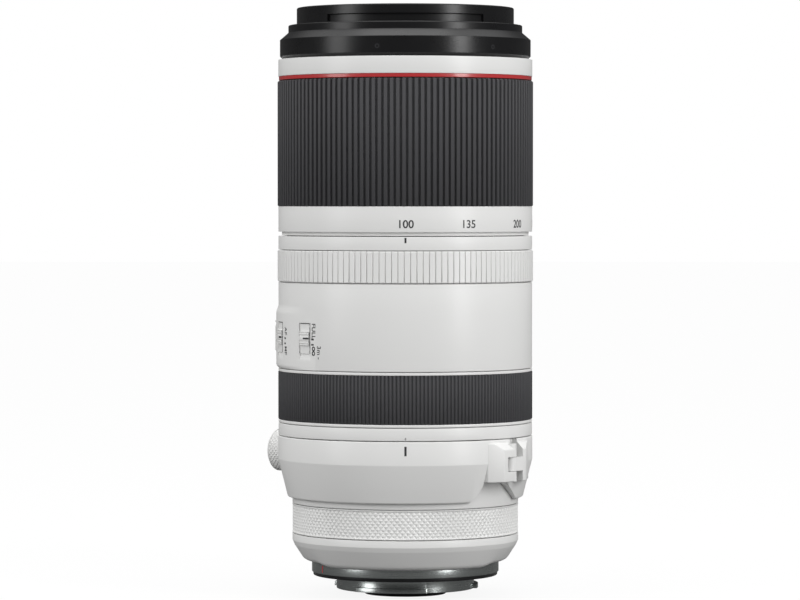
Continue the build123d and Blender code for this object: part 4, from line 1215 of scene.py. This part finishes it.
class LENS_OT_switches(LensOperator, bpy.types.Operator):
    """Model the four grooved knobs, and print their words and lines"""

    bl_idname = "lens.switches"
    bl_label = "Switches"

    def build(self):
        nodes = ("limiter_switch", "focus_mode_switch", "stabiliser_switch")
        nodes += ("stabiliser_mode_switch",)
        for node, (bearing, steps) in zip(nodes, SWITCHES):
            dress(self.knob(node, bearing), white(), node, node)
            radius = panel_radius(bearing, KNOB_MIDDLE) + KNOB_LIFT
            line = mark(node + "_line", 3.4, 0.65, radius, bearing + 1.2, KNOB_MIDDLE)
            dress(line, ink(), node)
            # Painted shadow strips along the slot's gap
            self.seal(node, bearing, steps)
        self.words()

    @staticmethod
    def seal(node, bearing, steps):
        """Painted shadow: dark strips along two sides of the slot, where the gap between its plate
        and its rim lies in shade.
        """
        long = SLOT_LENGTH + (steps - 1) * SWITCH_TRAVEL
        # Near-black sheets that paint the shade in the gap between the plate and the rim
        dark = finished("slot_gap", satin_black, "slot_gap", 3.0)
        right, middle = bearing + SLOT_HALF, SLOT_TOP - long / 2
        for part, width, length, turn, height in (
            ("side", 0.42, long - 0.7, right - 0.3, middle - 0.3),
            ("end", SLOT_WIDTH - 1.1, 0.26, bearing - 0.1, SLOT_TOP - 0.16),
            ("corner", 0.45, 0.42, right - 0.62, SLOT_TOP - 0.36),
        ):
            piece = mark(f"{node}_gap_{part}", width, length, None, turn, height, -0.02)
            dress(piece, dark, "barrel")

    @staticmethod
    def knob(node, bearing):
        """A curved block, closed below, with four grooves across it."""
        half = math.degrees((SLOT_WIDTH / 2 - 0.1) / PANEL_RADIUS)
        offsets = [-2.55, -2.3, -1.9, -1.3, -0.9, 0.9, 1.3, 1.9, 2.3, 2.55]
        columns, rows = 7, len(offsets)
        piece = grid(node + "_skin", columns - 1, rows - 1)
        skin = panel_radius(bearing, KNOB_MIDDLE)
        root, groove = skin - 0.19, 0.3
        for vertex in piece.data.vertices:
            side = (vertex.index % columns) / (columns - 1) * 1.84 - 1
            height = KNOB_MIDDLE + offsets[vertex.index // columns]
            vertex.co = polar(root, bearing + side * half, height) * MM
        make_active(piece, "EDIT")
        extrude_to(factor=(skin + KNOB_LIFT) / root)
        sides = (bearing - half, bearing + half)
        for near, far in ((-2.3, -1.9), (-1.3, -0.9), (0.9, 1.3), (1.9, 2.3)):
            pick(piece, within(*sides, KNOB_MIDDLE + near, KNOB_MIDDLE + far, skin + 0.3))
            extrude_to(factor=1 - groove / skin)
        settle(piece, 0.08)
        return piece

    @staticmethod
    def words():
        """The switches' words, which read from top to bottom, and their lines."""
        size = 1.9
        low_line, high_line = 84.7, 86.6
        tables = (
            (0, (("FULL", 89.6, size), ("∞", 82.4, size * 1.5)), (high_line, low_line)),
            (1, (("AF", 89.2, size), ("MF", 82.1, size)), (high_line, low_line)),
            (2, (("ON", 89.2, size), ("OFF", 81.6, size)), (high_line, low_line)),
            (3, (("1", 88.9, size), ("2", 84.7, size), ("3", 80.9, size)), (high_line, 82.8)),
        )
        for place, texts, lines in tables:
            bearing = SWITCHES[place][0] + SLOT_HALF + 2.0 + (1.5 if place else 0.0)
            for text, height, tall in texts:
                name = f"word_{place}_{height:.0f}"
                piece = word(name, text, tall, None, bearing, height, -90.0)
                dress(piece, ink(), "barrel")
            for height in lines:
                line = mark(f"line_{place}_{height:.0f}", 1.3, 0.6, None, bearing - 0.6, height)
                dress(line, ink(), "barrel")
        bearing = SWITCHES[0][0] + SLOT_HALF + 5.3
        near = word("word_near", "3m -", size, None, bearing, 81.9, -90.0)
        dress(near, ink(), "barrel")


class LENS_OT_focus_ring(LensOperator, bpy.types.Operator):
    """Model the focus ring under its rubber"""

    bl_idname = "lens.focus_ring"
    bl_label = "Focus Ring"

    def build(self):
        outer, bore, core = reach("focus_ring"), 45.2, 45.9
        bottom, top = low("focus_ring"), high("focus_ring")
        edge = size_of("edge_break")
        outline = [
            (outer, bottom, edge), (outer, low("focus_grip"), edge), (core, low("focus_grip")),
            (core, high("focus_grip")), (outer, high("focus_grip"), edge), (outer, top, edge),
            (bore, top), (bore, bottom),
        ]
        piece = settle(turned("focus_ring_skin", outline, sides=256))
        dress(piece, white(), "focus_ring", "focus_ring")


class LENS_OT_rear_barrel(LensOperator, bpy.types.Operator):
    """Model the rear barrel: its band, the collar's seat and the strip above the knurling"""

    bl_idname = "lens.rear_barrel"
    bl_label = "Rear Barrel"

    def build(self):
        outer, seat = reach("rear_band"), 41.7
        top = high("rear_band")
        strip = high("control_ring") + 0.3
        neck, heel = 39.8, 36.5
        edge = size_of("edge_break")
        throat, shoulder, bore, rebate = 26.2, 34.5, 37.8, 44.9
        rear, band = 4.1, top - 4.5
        groove_low, groove_high = SEAT_GROOVE
        outline = [
            (throat, rear), (shoulder, rear), (shoulder, rear + 4.0), (heel, rear + 4.0),
            (neck, 11.3), (neck, strip), (seat, strip, edge), (seat, groove_low),
            (seat + 1.7, groove_low), (seat + 1.7, groove_high), (seat, groove_high),
            (seat, band), (outer, band, 0.3), (outer, top, edge), (rebate, top),
            (rebate, top - 2.1), (bore, top - 2.1), (bore, 11.5), (throat, 11.5),
        ]
        piece = settle(turned("rear_barrel_skin", outline, sides=256))
        dress(piece, white(), "barrel", "rear_barrel", "rear_band")


class LENS_OT_collar(LensOperator, bpy.types.Operator):
    """Model the tripod collar: its base with the foot, its gate, the hinge and the clamp"""

    bl_idname = "lens.collar"
    bl_label = "Tripod Collar"

    bottom = 27.7
    height = 22.6
    bore = 42.0
    outer = 46.9
    face = 49.3
    gap = 0.15
    lug_low = 7.3
    lug_high = 21.4
    knuckle_low = 11.1
    knuckle_high = 16.1
    clamp_low = 7.7
    clamp_high = 21.7
    mouth_half = 2.7

    def build(self):
        base = self.base()
        settle(base, smooth_deg=28.0)
        dress(base, white(), "collar", "collar_base")
        gate = self.gate()
        settle(gate, smooth_deg=28.0)
        dress(gate, white(), "collar_gate", "collar_gate")
        self.insert()

    def shell(self, name, side):
        """Half of the collar's ring, on one side of the hinge's plane."""
        bottom, top = self.bottom, self.bottom + self.height
        play, groove = 0.3, 43.7
        groove_low, groove_high = SEAT_GROOVE
        outline = [
            (self.bore, bottom), (43.4, bottom, 0.9), (self.outer, bottom + 14.0, 1.6),
            (self.outer, top, 0.35), (self.bore, top, 0.2), (self.bore, groove_high + play),
            (groove, groove_high + play), (groove, groove_low - play),
            (self.bore, groove_low - play),
        ]
        piece = turned(name, outline, sides=360)
        normal = polar(1, HINGE_BEARING + 90) * -side
        return trim(piece, normal * -self.gap, normal)

    def lug(self, name, side):
        """Half of the raised lug of the hinge, with its sloping top."""
        corners = [(41.0, self.gap), (self.face, self.gap), (self.face, 6.8), (44.07, 16.04)]
        corners += [(41.0, 15.6)]
        if side < 0:
            corners = [(41.0, -self.gap), (self.face, -self.gap), (self.face, -6.8)]
            corners += [(45.36, -11.9), (41.0, -11.5)]
        where = level(HINGE_BEARING, self.bottom + self.lug_low)
        lug = prism(name, where, corners, self.lug_high - self.lug_low)
        slope = polar(1, HINGE_BEARING, 1)
        trim(lug, polar(self.face - 1.2, HINGE_BEARING, self.bottom + self.lug_high - 1.2), slope)
        return soften(lug, 0.35, 3, 20)

    def box(self, bearing, outline, bottom, top):
        """A block on a level plane at a bearing: outwards, then round the axis."""
        return prism("block", level(bearing, self.bottom + bottom), outline, top - bottom)

    def notch(self, first, last, bottom, top):
        """A block that clears the outside of the lug."""
        outline = [(44.6, first), (52.0, first), (52.0, last), (44.6, last)]
        return self.box(HINGE_BEARING, outline, bottom, top)

    def knuckle(self, radius, bottom, top):
        where = Matrix.Translation(polar(self.face - 2.2, HINGE_BEARING, self.bottom + bottom))
        return peg("knuckle", where, radius, top - bottom, 48)

    def clear_bore(self, piece, above=1):
        """Cut the collar's bore out of a piece."""
        bottom, top = self.bottom - 1, self.bottom + self.height + above
        where = Matrix.Translation((0, 0, bottom))
        return cut(piece, peg("bore", where, self.bore, top - bottom, 360))

    def clamp(self, outline):
        """A block of the clamp, on the side that faces away from the hinge."""
        return self.box(HINGE_BEARING + 180, outline, self.clamp_low, self.clamp_high)

    def base(self):
        piece = self.shell("collar_base_skin", 1)
        foot = self.foot()
        self.clear_bore(foot, above=40)
        combine(piece, foot)
        pad = [(41.0, -self.gap), (47.0, -self.gap), (47.0, -12.0), (44.07, -16.0), (41.0, -15.0)]
        pad = self.clamp(pad)
        lug = self.clear_bore(self.lug("lug", 1))
        self.clear_notches(lug)
        combine(lug, self.knuckle(2.2, self.knuckle_low, self.knuckle_high))
        cut(lug, self.knuckle(1.25, self.knuckle_low - 1, self.knuckle_high + 1))
        self.clear_bore(pad)
        self.clear_notches(piece)
        slant = [(-1.0, 7.0), (self.gap, 7.0), (10.9, 0.0), (10.9, -1.0), (-1.0, -1.0)]
        where = facing(HINGE_BEARING, self.bore - 2, self.bottom)
        cut(piece, prism("slant", where, slant, 10.0))
        combine(piece, lug)
        return combine(piece, pad)

    def clear_notches(self, piece):
        """Clear a piece above and below the middle knuckle."""
        cut(piece, self.notch(-1.0, 4.7, self.lug_low - 0.3, self.knuckle_low))
        cut(piece, self.notch(-1.0, 4.7, self.knuckle_high, self.height))

    @staticmethod
    def foot():
        """The foot, with its chamfered sides, its thread's hole and its stop hole."""
        outline = [
            (39.7, 28.7), (62.0, 28.7), (70.0, 17.0), (74.0, 13.0), (78.0, 13.0), (78.0, 88.0),
            (74.0, 88.0), (70.0, 84.0), (70.0, 58.3), (62.0, 50.3), (39.7, 50.3),
        ]
        foot = prism("foot", upright(180), outline, 13.5, both=True)
        soften(foot, 1.2, 4, 25)
        for height, radius, depth in ((50.0, 5.0, 9.0), (64.0, 2.1, 5.0)):
            where = plane(Vector((0, 78.0 - depth, height)), Vector((0, 0, 1)), Vector((1, 0, 0)))
            cut(foot, peg("hole", where, radius, depth + 1.0))
        return foot

    def gate(self):
        piece = self.shell("collar_gate_skin", -1)
        cut(piece, sector("gap", 52.0, 40.0, 39.6, 74.0, self.bottom - 1, self.bottom + 7.3))
        end = [(-5.4, -1.0), (-4.9, 0.25), (-4.0, 0.75), (-2.7, 2.0), (-1.5, 3.7), (-0.6, 5.4)]
        end += [(0.0, 7.3), (6.0, 7.3), (6.0, -1.0)]
        cut(piece, prism("gap_end", facing(39.0, 39.0, self.bottom), end, 14.0))
        lug = self.clear_bore(self.lug("lug", -1))
        middle = (self.knuckle_low - 0.15, self.knuckle_high + 0.15)
        for solid in (piece, lug):
            cut(solid, self.notch(-4.7, 1.0, *middle))
        combine(lug, self.knuckle(2.2, self.lug_low, middle[0]))
        combine(lug, self.knuckle(2.2, middle[1], self.lug_high - 0.4))
        cut(lug, self.knuckle(1.25, self.lug_low - 1, self.height))
        combine(piece, lug)
        root = [(41.0, self.gap), (51.3, self.gap), (51.3, 3.0), (45.1, 12.93), (41.0, 11.0)]
        root = self.clear_bore(self.clamp(root))
        combine(root, self.clamp([(47.3, 3.0), (51.3, 3.0), (51.3, -9.5), (47.3, -9.5)]))
        soften(root, 0.4, 3, 30)
        mouth, half = facing(LOCK_BEARING, 46.0, LOCK_HEIGHT), self.mouth_half
        slot = [(LOCK_SHIFT, -half), (LOCK_SHIFT, half), (-15.0, half), (-15.0, -half)]
        cut(root, prism("mouth", mouth, slot, 8.0))
        cut(root, peg("mouth", mouth @ Matrix.Translation((LOCK_SHIFT, 0, 0)), half, 8.0))
        return combine(piece, root)

    @staticmethod
    def insert():
        """The threaded steel insert of the foot."""
        outline = [(5.0, 0.0), (5.0, 9.0), (3.1, 9.0)]
        pitch = 1.27
        for turn in range(6):
            high_z = 8.6 - pitch * turn
            outline += [(2.6, high_z), (3.1, high_z - pitch / 2)]
        outline += [(2.6, 0.6), (3.1, 0.0)]
        piece = settle(turned("tripod_insert_skin", outline, sides=64), smooth_deg=25)
        where = Matrix.Translation((0, 69.0, 50.0)) @ Matrix.Rotation(math.radians(-90), 4, "X")
        piece.data.transform(scaled_place(where))
        steel = finished("pin_steel", plain_metal, "pin_steel", (0.62, 0.62, 0.64), 0.25)
        dress(piece, steel, "collar", "tripod_insert")


class LENS_OT_lock_knob(LensOperator, bpy.types.Operator):
    """Model the collar's lock: a knurled knob with its screw"""

    bl_idname = "lens.lock_knob"
    bl_label = "Lock Knob"

    def build(self):
        radius, tall, screw = 8.0, 8.8, 2.4
        tail = [
            (5.2, tall, 0.3), (4.5, tall - 0.8, 0.2), (0.3, tall - 0.8), (0.3, -10.1),
            (screw - 0.4, -10.1), (screw, -9.7), (screw, 0.0),
        ]
        piece = knurled_bar("lock_knob_skin", radius, screw, 0.0, tall, 0.9, 0.8, 0.8, 0.3, tail)
        settle(piece, smooth_deg=14.0)
        where = facing(LOCK_BEARING, 53.15, LOCK_HEIGHT) @ Matrix.Translation((LOCK_SHIFT, 0, 0))
        piece.data.transform(scaled_place(where))
        dress(piece, white(), "lock_knob", "lock_knob")


class LENS_OT_control_ring(LensOperator, bpy.types.Operator):
    """Model the control ring and its diamond knurling"""

    bl_idname = "lens.control_ring"
    bl_label = "Control Ring"

    def build(self):
        outer, inner = reach("control_ring"), 40.1
        bottom, top = low("control_ring"), high("control_ring")
        tail = [(inner, top), (inner, bottom)]
        across, along = size_of("knurl_pitch"), size_of("knurl_pitch") * 1.08
        depth = size_of("knurl_depth")
        piece = knurled_bar(
            "control_ring_skin", outer, inner, bottom, top, 0.45, across, along, depth, tail
        )
        settle(piece, smooth_deg=10.0)
        dress(piece, white(), "control_ring", "control_ring")


class LENS_OT_rear_cover(LensOperator, bpy.types.Operator):
    """Model the rear cover, and draw down its lip on the scale side"""

    bl_idname = "lens.rear_cover"
    bl_label = "Rear Cover"

    def build(self):
        bottom, top = high("mount_flange"), high("rear_cover")
        outer, flange = reach("rear_cover"), reach("mount_flange")
        sides, drop = 360, 1.1
        outline = [
            (flange, bottom), (flange + 0.2, bottom), (flange + 0.2, bottom - 0.001),
            (flange + 1.1, bottom + 0.1), (flange + 2.1, bottom + 0.4),
            (flange + 3.0, bottom + 0.9), (flange + 3.6, bottom + 1.6),
            (outer - 0.8, bottom + 5.9, 1.2), (outer, bottom + 7.7, 0.7),
            (outer, top, size_of("edge_break")), (39.8, top), (39.8, top - 3.0),
            (flange + 2.0, bottom + 4.0), (flange, bottom + 4.0),
        ]
        piece = turned("rear_cover_skin", outline, sides=sides)
        ramps = {2: 1.0, 3: 1.0, 4: 0.98, 5: 0.92, 6: 0.8}
        for vertex in piece.data.vertices:
            share = ramps.get(vertex.index // sides)
            off = abs(bearing_of(vertex.co))
            if share and off < 62:
                ramp = min(1.0, (62 - off) / 14)
                vertex.co.z -= drop * share * ramp * ramp * (3 - 2 * ramp) * MM
        settle(piece, smooth_deg=40.0)
        dress(piece, white(), "barrel", "rear_cover")


class LENS_OT_mount(LensOperator, bpy.types.Operator):
    """Model the mount: the flange with its bayonet, its screws and the gasket"""

    bl_idname = "lens.mount"
    bl_label = "Mount"

    def build(self):
        steel = finished("turned_steel", turned_steel)
        throat, bayonet, lug = 23.6, 25.4, 26.9
        screws = (35, 125, 215, 305)
        top, flange = high("mount_flange"), reach("mount_flange")
        bottom = low("mount_flange")
        edge = size_of("edge_break")
        outline = [
            (throat, bottom, 0.2), (bayonet, bottom, 0.3), (bayonet, bottom + 0.2),
            (bayonet, bottom + 1.8), (bayonet, 0.0), (32.9, 0.0, 0.1), (32.9, 1.0), (34.0, 1.0),
            (34.0, 0.0), (flange, 0.0, 0.3), (flange, top, edge), (throat, top),
        ]
        piece = turned("mount_flange_skin", outline, sides=360)
        make_active(piece, "EDIT")
        for middle in (-13, 107, -133):
            sides = (middle - 30, middle + 30)
            pick(piece, within(*sides, bottom + 0.2, bottom + 1.8, bayonet - 0.1, lug))
            extrude_to(factor=lug / bayonet)
        settle(piece, 0.12)
        for bearing in screws:
            cut(piece, self.seat(bearing))
        smooth(piece, 35)
        dress(piece, steel, "barrel", "mount_flange")
        for bearing in screws:
            dress(self.screw(bearing), steel, "barrel")
        node = "mount_gasket"
        gasket = ring(node + "_skin", reach(node), 32.9, low(node), 1.0, 0.3)
        dress(settle(gasket), black(), "barrel", node)
        tick = mark("mount_index", 0.7, 2.5, flange, -61.4, 2.0)
        dress(tick, finished("stripe_enamel", stripe_enamel), "barrel")

    @staticmethod
    def seat(bearing):
        """The countersink of a screw, to cut out of the flange."""
        where = Matrix.Translation(polar(SCREW_CIRCLE, bearing, 0.0))
        outline = [(0.1, -1.0), (2.0, -1.0), (2.0, 0.02), (1.05, 1.0), (0.1, 1.0)]
        piece = settle(turned("seat", outline, sides=48, closed=False))
        piece.data.transform(scaled_place(where))
        return piece

    @staticmethod
    def screw(bearing):
        """A countersunk screw with a cross in its head."""
        outline = [(0.1, 0.95), (1.0, 0.95), (1.93, 0.07, 0.05), (1.8, -0.02), (0.1, -0.05)]
        piece = settle(turned(f"mount_screw_{bearing}", outline, sides=48, closed=False))
        for turn in (0, 90):
            where = level(bearing + turn, -0.2)
            bar = [(-1.0, -0.17), (1.0, -0.17), (1.0, 0.17), (-1.0, 0.17)]
            cut(piece, prism("bar", where, bar, 0.75))
        smooth(piece, 30)
        where = Matrix.Translation(polar(SCREW_CIRCLE, bearing, 0.0))
        piece.data.transform(scaled_place(where))
        return piece


class LENS_OT_glass(LensOperator, bpy.types.Operator):
    """Model the elements that show from outside, with round faces"""

    bl_idname = "lens.glass"
    bl_label = "Front and Rear Elements"

    def build(self):
        glass = finished("coated_glass", coated_glass)
        rows = (
            ("front_element", "front_group", 0.0, 3.5, 4.0, 2.0),
            ("rear_element", "barrel", 1.0, 3.0, 2.0, -1.0),
        )
        for node, body, lift, edge, front, rear in rows:
            radius, bottom = reach(node), low(node) + lift
            outline = self.face(radius - 1.8, bottom, rear)
            outline += [(radius, bottom), (radius, bottom + edge)]
            outline += list(reversed(self.face(radius - 1.8, bottom + edge, front)))
            piece = settle(turned(node + "_skin", outline, sides=160, closed=False))
            dress(piece, glass, body, node)

    @staticmethod
    def face(radius, height, sag):
        """A spherical face from near the axis to its rim."""
        ball = (radius**2 + sag**2) / (2 * abs(sag))
        points = []
        for share in (0.004, 0.15, 0.3, 0.45, 0.6, 0.72, 0.84, 0.93, 1.0):
            drop = ball - math.sqrt(ball**2 - (share * radius) ** 2)
            points.append((share * radius, height + sag - math.copysign(drop, sag)))
        return points


class LENS_OT_scale(LensOperator, bpy.types.Operator):
    """Print the zoom scale and the index lines"""

    bl_idname = "lens.scale"
    bl_label = "Scale and Marks"

    def build(self):
        radius = reach("zoom_ring")
        places = ((100, 0.0), (135, 29.0), (200, 60.5), (300, 89.0), (400, 107.0), (500, 121.0))
        for number, bearing in places:
            name = f"scale_{number}"
            digits = word(name, str(number), size_of("digit_height"), radius, bearing, 128.2)
            dress(digits, ink(), "zoom_ring")
        rows = (
            ("zoom_index", 0.7, 1.9, reach("index_band"), 122.5, "barrel"),
            ("collar_index", 0.8, 3.4, 46.9, 47.0, "collar_gate"),
        )
        for name, width, length, on, height, body in rows:
            dress(mark(name, width, length, on, 0.0, height), ink(), body)
        pale = finished("pale_ink", moulded, "pale_ink", (0.35, 0.35, 0.35), 0.5)
        dress(mark("band_index", 0.5, 0.9, reach("rear_band"), 0.0, 51.4), pale, "barrel")
        faint = finished("hood_mark_ink", satin_black, "hood_mark_ink", 4.0)
        for name, bearing in (("hood_mark_left", -12.7), ("hood_mark_right", 43.0)):
            ringlet = word(name, "o", 2.4, reach("front_ring"), bearing, 192.4)
            dress(ringlet, faint, "front_group")


class LENS_OT_nodes(LensOperator, bpy.types.Operator):
    """Give each solid that is shown as it is its finish"""

    bl_idname = "lens.nodes"
    bl_label = "Inner Parts"

    def build(self):
        dark = finished("dark_metal", plain_metal, "dark_metal", (0.05, 0.05, 0.055), 0.45)
        steel = finished("pin_steel", plain_metal, "pin_steel", (0.62, 0.62, 0.64), 0.25)
        brass = finished("contact_gold", plain_metal, "contact_gold", (0.83, 0.62, 0.25), 0.2)
        plastic = finished("black_plastic", moulded, "black_plastic", (0.02, 0.02, 0.021), 0.5)
        glass = finished("coated_glass", coated_glass)
        baffle = finished("baffle_black", baffle_black)
        board = finished("circuit_green", circuit_green)
        finishes = {
            dark: ("cam_tube", "guide_tube", "rail_bridge", "iris_blades"),
            steel: (
                "zoom_keys", "focus_rails", "focus_motor", "hinge_pin", "lock_washer",
            ),
            brass: ("contact_pins", "front_followers", "carrier_followers"),
            plastic: (
                "zoom_carrier", "iris_housing", "iris_ring", "stabiliser_guide",
                "stabiliser_frame", "focus_carriage", "contact_block",
            ),
            glass: (
                "second_element", "third_element", "zoom_elements", "stabiliser_element",
                "focus_element",
            ),
            baffle: ("front_cell", "front_retainer", "doublet_retainer", "rear_baffle"),
            board: ("circuit_board",),
            rubber(): ("brake_pads",),
        }
        for material, nodes in finishes.items():
            for node in nodes:
                paint(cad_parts[node], material)


class LENS_OT_stage(LensOperator, bpy.types.Operator):
    """Set the floor, the lamps and the camera"""

    bl_idname = "lens.stage"
    bl_label = "Studio"

    def build(self):
        self.floor()
        self.world()
        self.lamps()
        self.camera()
        bpy.context.scene.view_settings.view_transform = "Standard"

    def floor(self):
        to_object_mode()
        bpy.ops.mesh.primitive_plane_add(size=16.0, location=(0, 0, cad_box[0][2] - 0.2 * MM))
        floor = added("studio_floor")
        finish = Finish("studio_floor")
        paper = finish.noise(2 * MM)
        seen, glossy, through = finish.rays()
        shown = finish.mix((0.80, 0.80, 0.80), (0.78, 0.78, 0.78), paper)
        sockets = {"Base Color": finish.mix((0.06, 0.06, 0.06), shown, seen), "Roughness": 0.8}
        matt = finish.node("ShaderNodeBsdfPrincipled", None, sockets)
        sockets = {"Color": (1.0, 1.0, 1.0, 1.0), "Strength": 1.0}
        glow = finish.node("ShaderNodeEmission", None, sockets)
        share = (seen + through) * 0.9 + glossy * 0.04
        mixed = finish.node("ShaderNodeMixShader", None, {0: share, 1: matt, 2: glow})
        floor.data.materials.append(finish.close(mixed))

    def world(self):
        """White to the camera, a bright ceiling for the paint and a dim room for the gloss."""
        studio = Finish("studio", "worlds")
        seen, glossy, through = studio.rays()
        way = studio.node("ShaderNodeTexCoord", output="Generated")
        height = studio.node("ShaderNodeSeparateXYZ", None, {0: way}, output="Z")

        def rise(start, end, lowest, highest):
            sockets = {"Value": height, "From Min": start, "From Max": end}
            sockets |= {"To Min": lowest, "To Max": highest}
            kind = {"interpolation_type": "SMOOTHSTEP"}
            return studio.node("ShaderNodeMapRange", kind, sockets)

        plain = seen + through
        sky = rise(-0.05, 0.45, 0.25, SKY)
        room = rise(0.4, 0.95, 0.07, 1.7)
        strength = plain + (1.0 - plain) * (glossy * room + (1.0 - glossy) * sky)
        sockets = {"Color": (1.0, 1.0, 1.0, 1.0), "Strength": strength}
        light = studio.node("ShaderNodeBackground", None, sockets)
        bpy.context.scene.world = studio.close(light, "ShaderNodeOutputWorld")

    def lamps(self):
        for name, bearing, distance, height, width, tall, power in LAMPS:
            place = polar(distance, bearing, height)
            to_object_mode()
            bpy.ops.object.light_add(type="AREA", location=place)
            lamp = added(name)
            lamp.data.shape = "RECTANGLE"
            lamp.data.size = width
            lamp.data.size_y = tall
            lamp.data.energy = power
            aim = Vector((0, 0, 0.11)) - place
            lamp.rotation_mode = "QUATERNION"
            lamp.rotation_quaternion = aim.to_track_quat("-Z", "Y")

    def camera(self):
        to_object_mode()
        bpy.ops.object.camera_add(
            location=(-1.96 * MM, -1484 * MM, 137 * MM),
            rotation=(math.radians(90 - 1.425), 0, 0),
        )
        camera = added("studio_camera")
        camera.data.sensor_width = 36.0
        camera.data.lens = 180.9
        camera.data.clip_start = 0.01
        camera.data.clip_end = 60.0
        bpy.context.scene.camera = camera


class LENS_PT_panel(bpy.types.Panel):
    """The pieces of the lens, in the sidebar"""

    bl_label = "Telephoto Zoom Lens"
    bl_idname = "LENS_PT_panel"
    bl_space_type = "VIEW_3D"
    bl_region_type = "UI"
    bl_category = "Lens"

    def draw(self, context):
        for operator in OPERATORS:
            self.layout.operator(operator.bl_idname)
        for group in (context.scene.lens_sizes, context.scene.lens_colours):
            for key in group.__annotations__:
                self.layout.prop(group, key)


OPERATORS = (
    LENS_OT_front_ring,
    LENS_OT_front_bands,
    LENS_OT_zoom_ring,
    LENS_OT_grips,
    LENS_OT_index_band,
    LENS_OT_tension_ring,
    LENS_OT_main_barrel,
    LENS_OT_switch_panel,
    LENS_OT_switches,
    LENS_OT_focus_ring,
    LENS_OT_rear_barrel,
    LENS_OT_collar,
    LENS_OT_lock_knob,
    LENS_OT_control_ring,
    LENS_OT_rear_cover,
    LENS_OT_mount,
    LENS_OT_glass,
    LENS_OT_scale,
    LENS_OT_nodes,
    LENS_OT_stage,
)
CLASSES = (LensSizes, LensColours, *OPERATORS, LENS_PT_panel)


def register():
    """Add the classes and the settings."""
    for cls in CLASSES:
        bpy.utils.register_class(cls)
    bpy.types.Scene.lens_sizes = PointerProperty(type=LensSizes)
    bpy.types.Scene.lens_colours = PointerProperty(type=LensColours)


def unregister():
    """Remove what register added."""
    del bpy.types.Scene.lens_colours
    del bpy.types.Scene.lens_sizes
    for cls in reversed(CLASSES):
        bpy.utils.unregister_class(cls)


def main():
    """Model every piece."""
    register()
    for operator in OPERATORS:
        getattr(bpy.ops.lens, operator.bl_idname.split(".")[1])()


if __name__ == "__main__":
    main()
